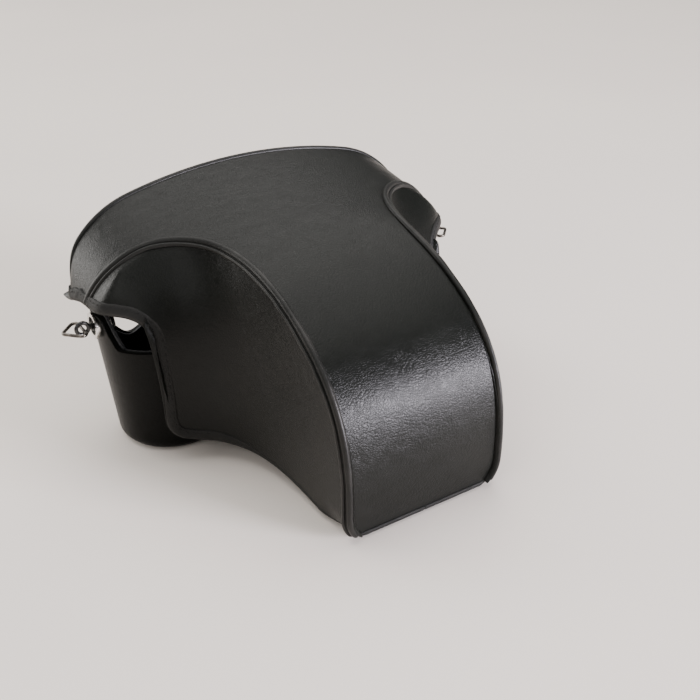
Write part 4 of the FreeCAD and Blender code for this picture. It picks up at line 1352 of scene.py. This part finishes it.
@dataclass
class Studio:
    """Pale table, soft light and the camera."""

    azimuth: float = -31.44
    elevation: float = 28.77
    roll: float = -1.74
    place: tuple[float, float, float] = (-160.14, -317.85, 210.65)
    lens: float = 51.43
    table: tuple[float, float, float] = (0.86, 0.79, 0.735)
    lamps: tuple[Lamp, ...] = (
        Lamp("window", (0.62, -1.08, 0.24), (0.36, 0.38), 42.0, (0.95, 0.91, 1.0)),
        Lamp("ceiling", (0.1, 0.5, 1.6), (2.4, 2.4), 50.0, (1.0, 0.975, 0.945)),
        Lamp("far_wall", (-0.95, 1.25, 0.36), (1.2, 0.62), 16.0, (1.0, 0.98, 0.95)),
        Lamp("side_fill", (-1.4, -0.8, 1.1), (1.2, 1.0), 9.0, (1.0, 0.985, 0.96)),
    )

    def floor(self) -> None:
        """Broad pale table top."""
        steps = 24
        ticks = np.linspace(-1500.0, 1500.0, steps)
        points = np.array([(x, y, 0.0) for y in ticks for x in ticks])
        table = make_piece("table_top", points, grid_faces(steps, steps), (0.0, 0.0, -100.0))
        material, b, shader, place = start_material("pale_table")
        shade = b.step(b.noise(place, 3.0, 3.0), 0.3, 0.7)
        lighter = (self.table[0] * 1.04, self.table[1] * 1.04, self.table[2] * 1.03, 1.0)
        colour = b.blend(shade, (*self.table, 1.0), lighter)
        bump = b.add("ShaderNodeBump", {"Strength": 0.04, "Distance": 0.0002, "Height": b.noise(place, 900.0, 3.0)})
        b.feed(shader.inputs, {"Base Color": colour, "Normal": bump.outputs[0], "Roughness": 0.65})
        table.data.materials.append(material)

    def camera(self) -> None:
        """Camera at the case's three-quarter view from its left front."""
        a, e, r = (math.radians(v) for v in (self.azimuth, self.elevation, self.roll))
        back = Vector((math.sin(a) * math.cos(e), -math.cos(a) * math.cos(e), math.sin(e)))
        right = Vector((math.cos(a), math.sin(a), 0.0))
        up = right.cross(-back)
        turned_right = right * math.cos(r) + up * math.sin(r)
        turned_up = up * math.cos(r) - right * math.sin(r)
        data = bpy.data.cameras.new("camera")
        data.lens = self.lens
        data.sensor_width = 36.0
        data.clip_start = 0.01
        cam = bpy.data.objects.new("camera", data)
        turn = Matrix((turned_right, turned_up, back)).transposed()
        cam.matrix_world = Matrix.Translation(Vector(self.place) * MM) @ turn.to_4x4()
        bpy.context.scene.collection.objects.link(cam)
        bpy.context.scene.camera = cam

    def build(self) -> None:
        """Set the table, the lamps, the surrounding light and the camera."""
        self.floor()
        for lamp in self.lamps:
            lamp.build()
        world = bpy.data.worlds.new("soft_room")
        world.use_nodes = True
        world.node_tree.nodes["Background"].inputs[0].default_value = (1.0, 0.985, 0.96, 1.0)
        world.node_tree.nodes["Background"].inputs[1].default_value = 0.2
        bpy.context.scene.world = world
        self.camera()


def main() -> None:
    """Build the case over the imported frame, then the studio round it."""
    logging.basicConfig(level=logging.INFO, format="%(name)s: %(message)s")
    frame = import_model()
    finishes = Finishes()
    stitches = StitchTree()
    Cover().build(finishes, stitches)
    LowerCase().build(finishes)
    hinge = Strap("hinge_strap", ("hinge_leaf_lower", "hinge_leaf_cover"), ("lower_case", "cover"),
                  ((-14.5, 0.8), (-20.0, 0.8), (-23.2, 1.1), (-25.2, 2.6), (-29.6, 9.2), (-33.0, 9.15),
                   (-44.2, 7.9)), 21.0, 1.3,
                  ((0.0, -22.6, 1.4), (0.0, -26.0, 1.8)))
    hinge.build(finishes, stitches)
    tab = Strap("closing_strap", ("tab_foot", "closing_tab"), ("lower_case", "closing_tab"),
                ((22.9, 18.2), (22.95, 30.0), (23.1, 36.8), (25.6, 52.0), (26.3, 56.0), (26.3, 77.0)), 8.5, 1.9,
                ((0.0, 24.0, 35.4), (0.0, 24.0, 38.2)), round_tip=True)
    tab.build(finishes, stitches)
    Fittings(finishes).dress(frame)
    Studio().build()


if __name__ == "__main__":
    main()
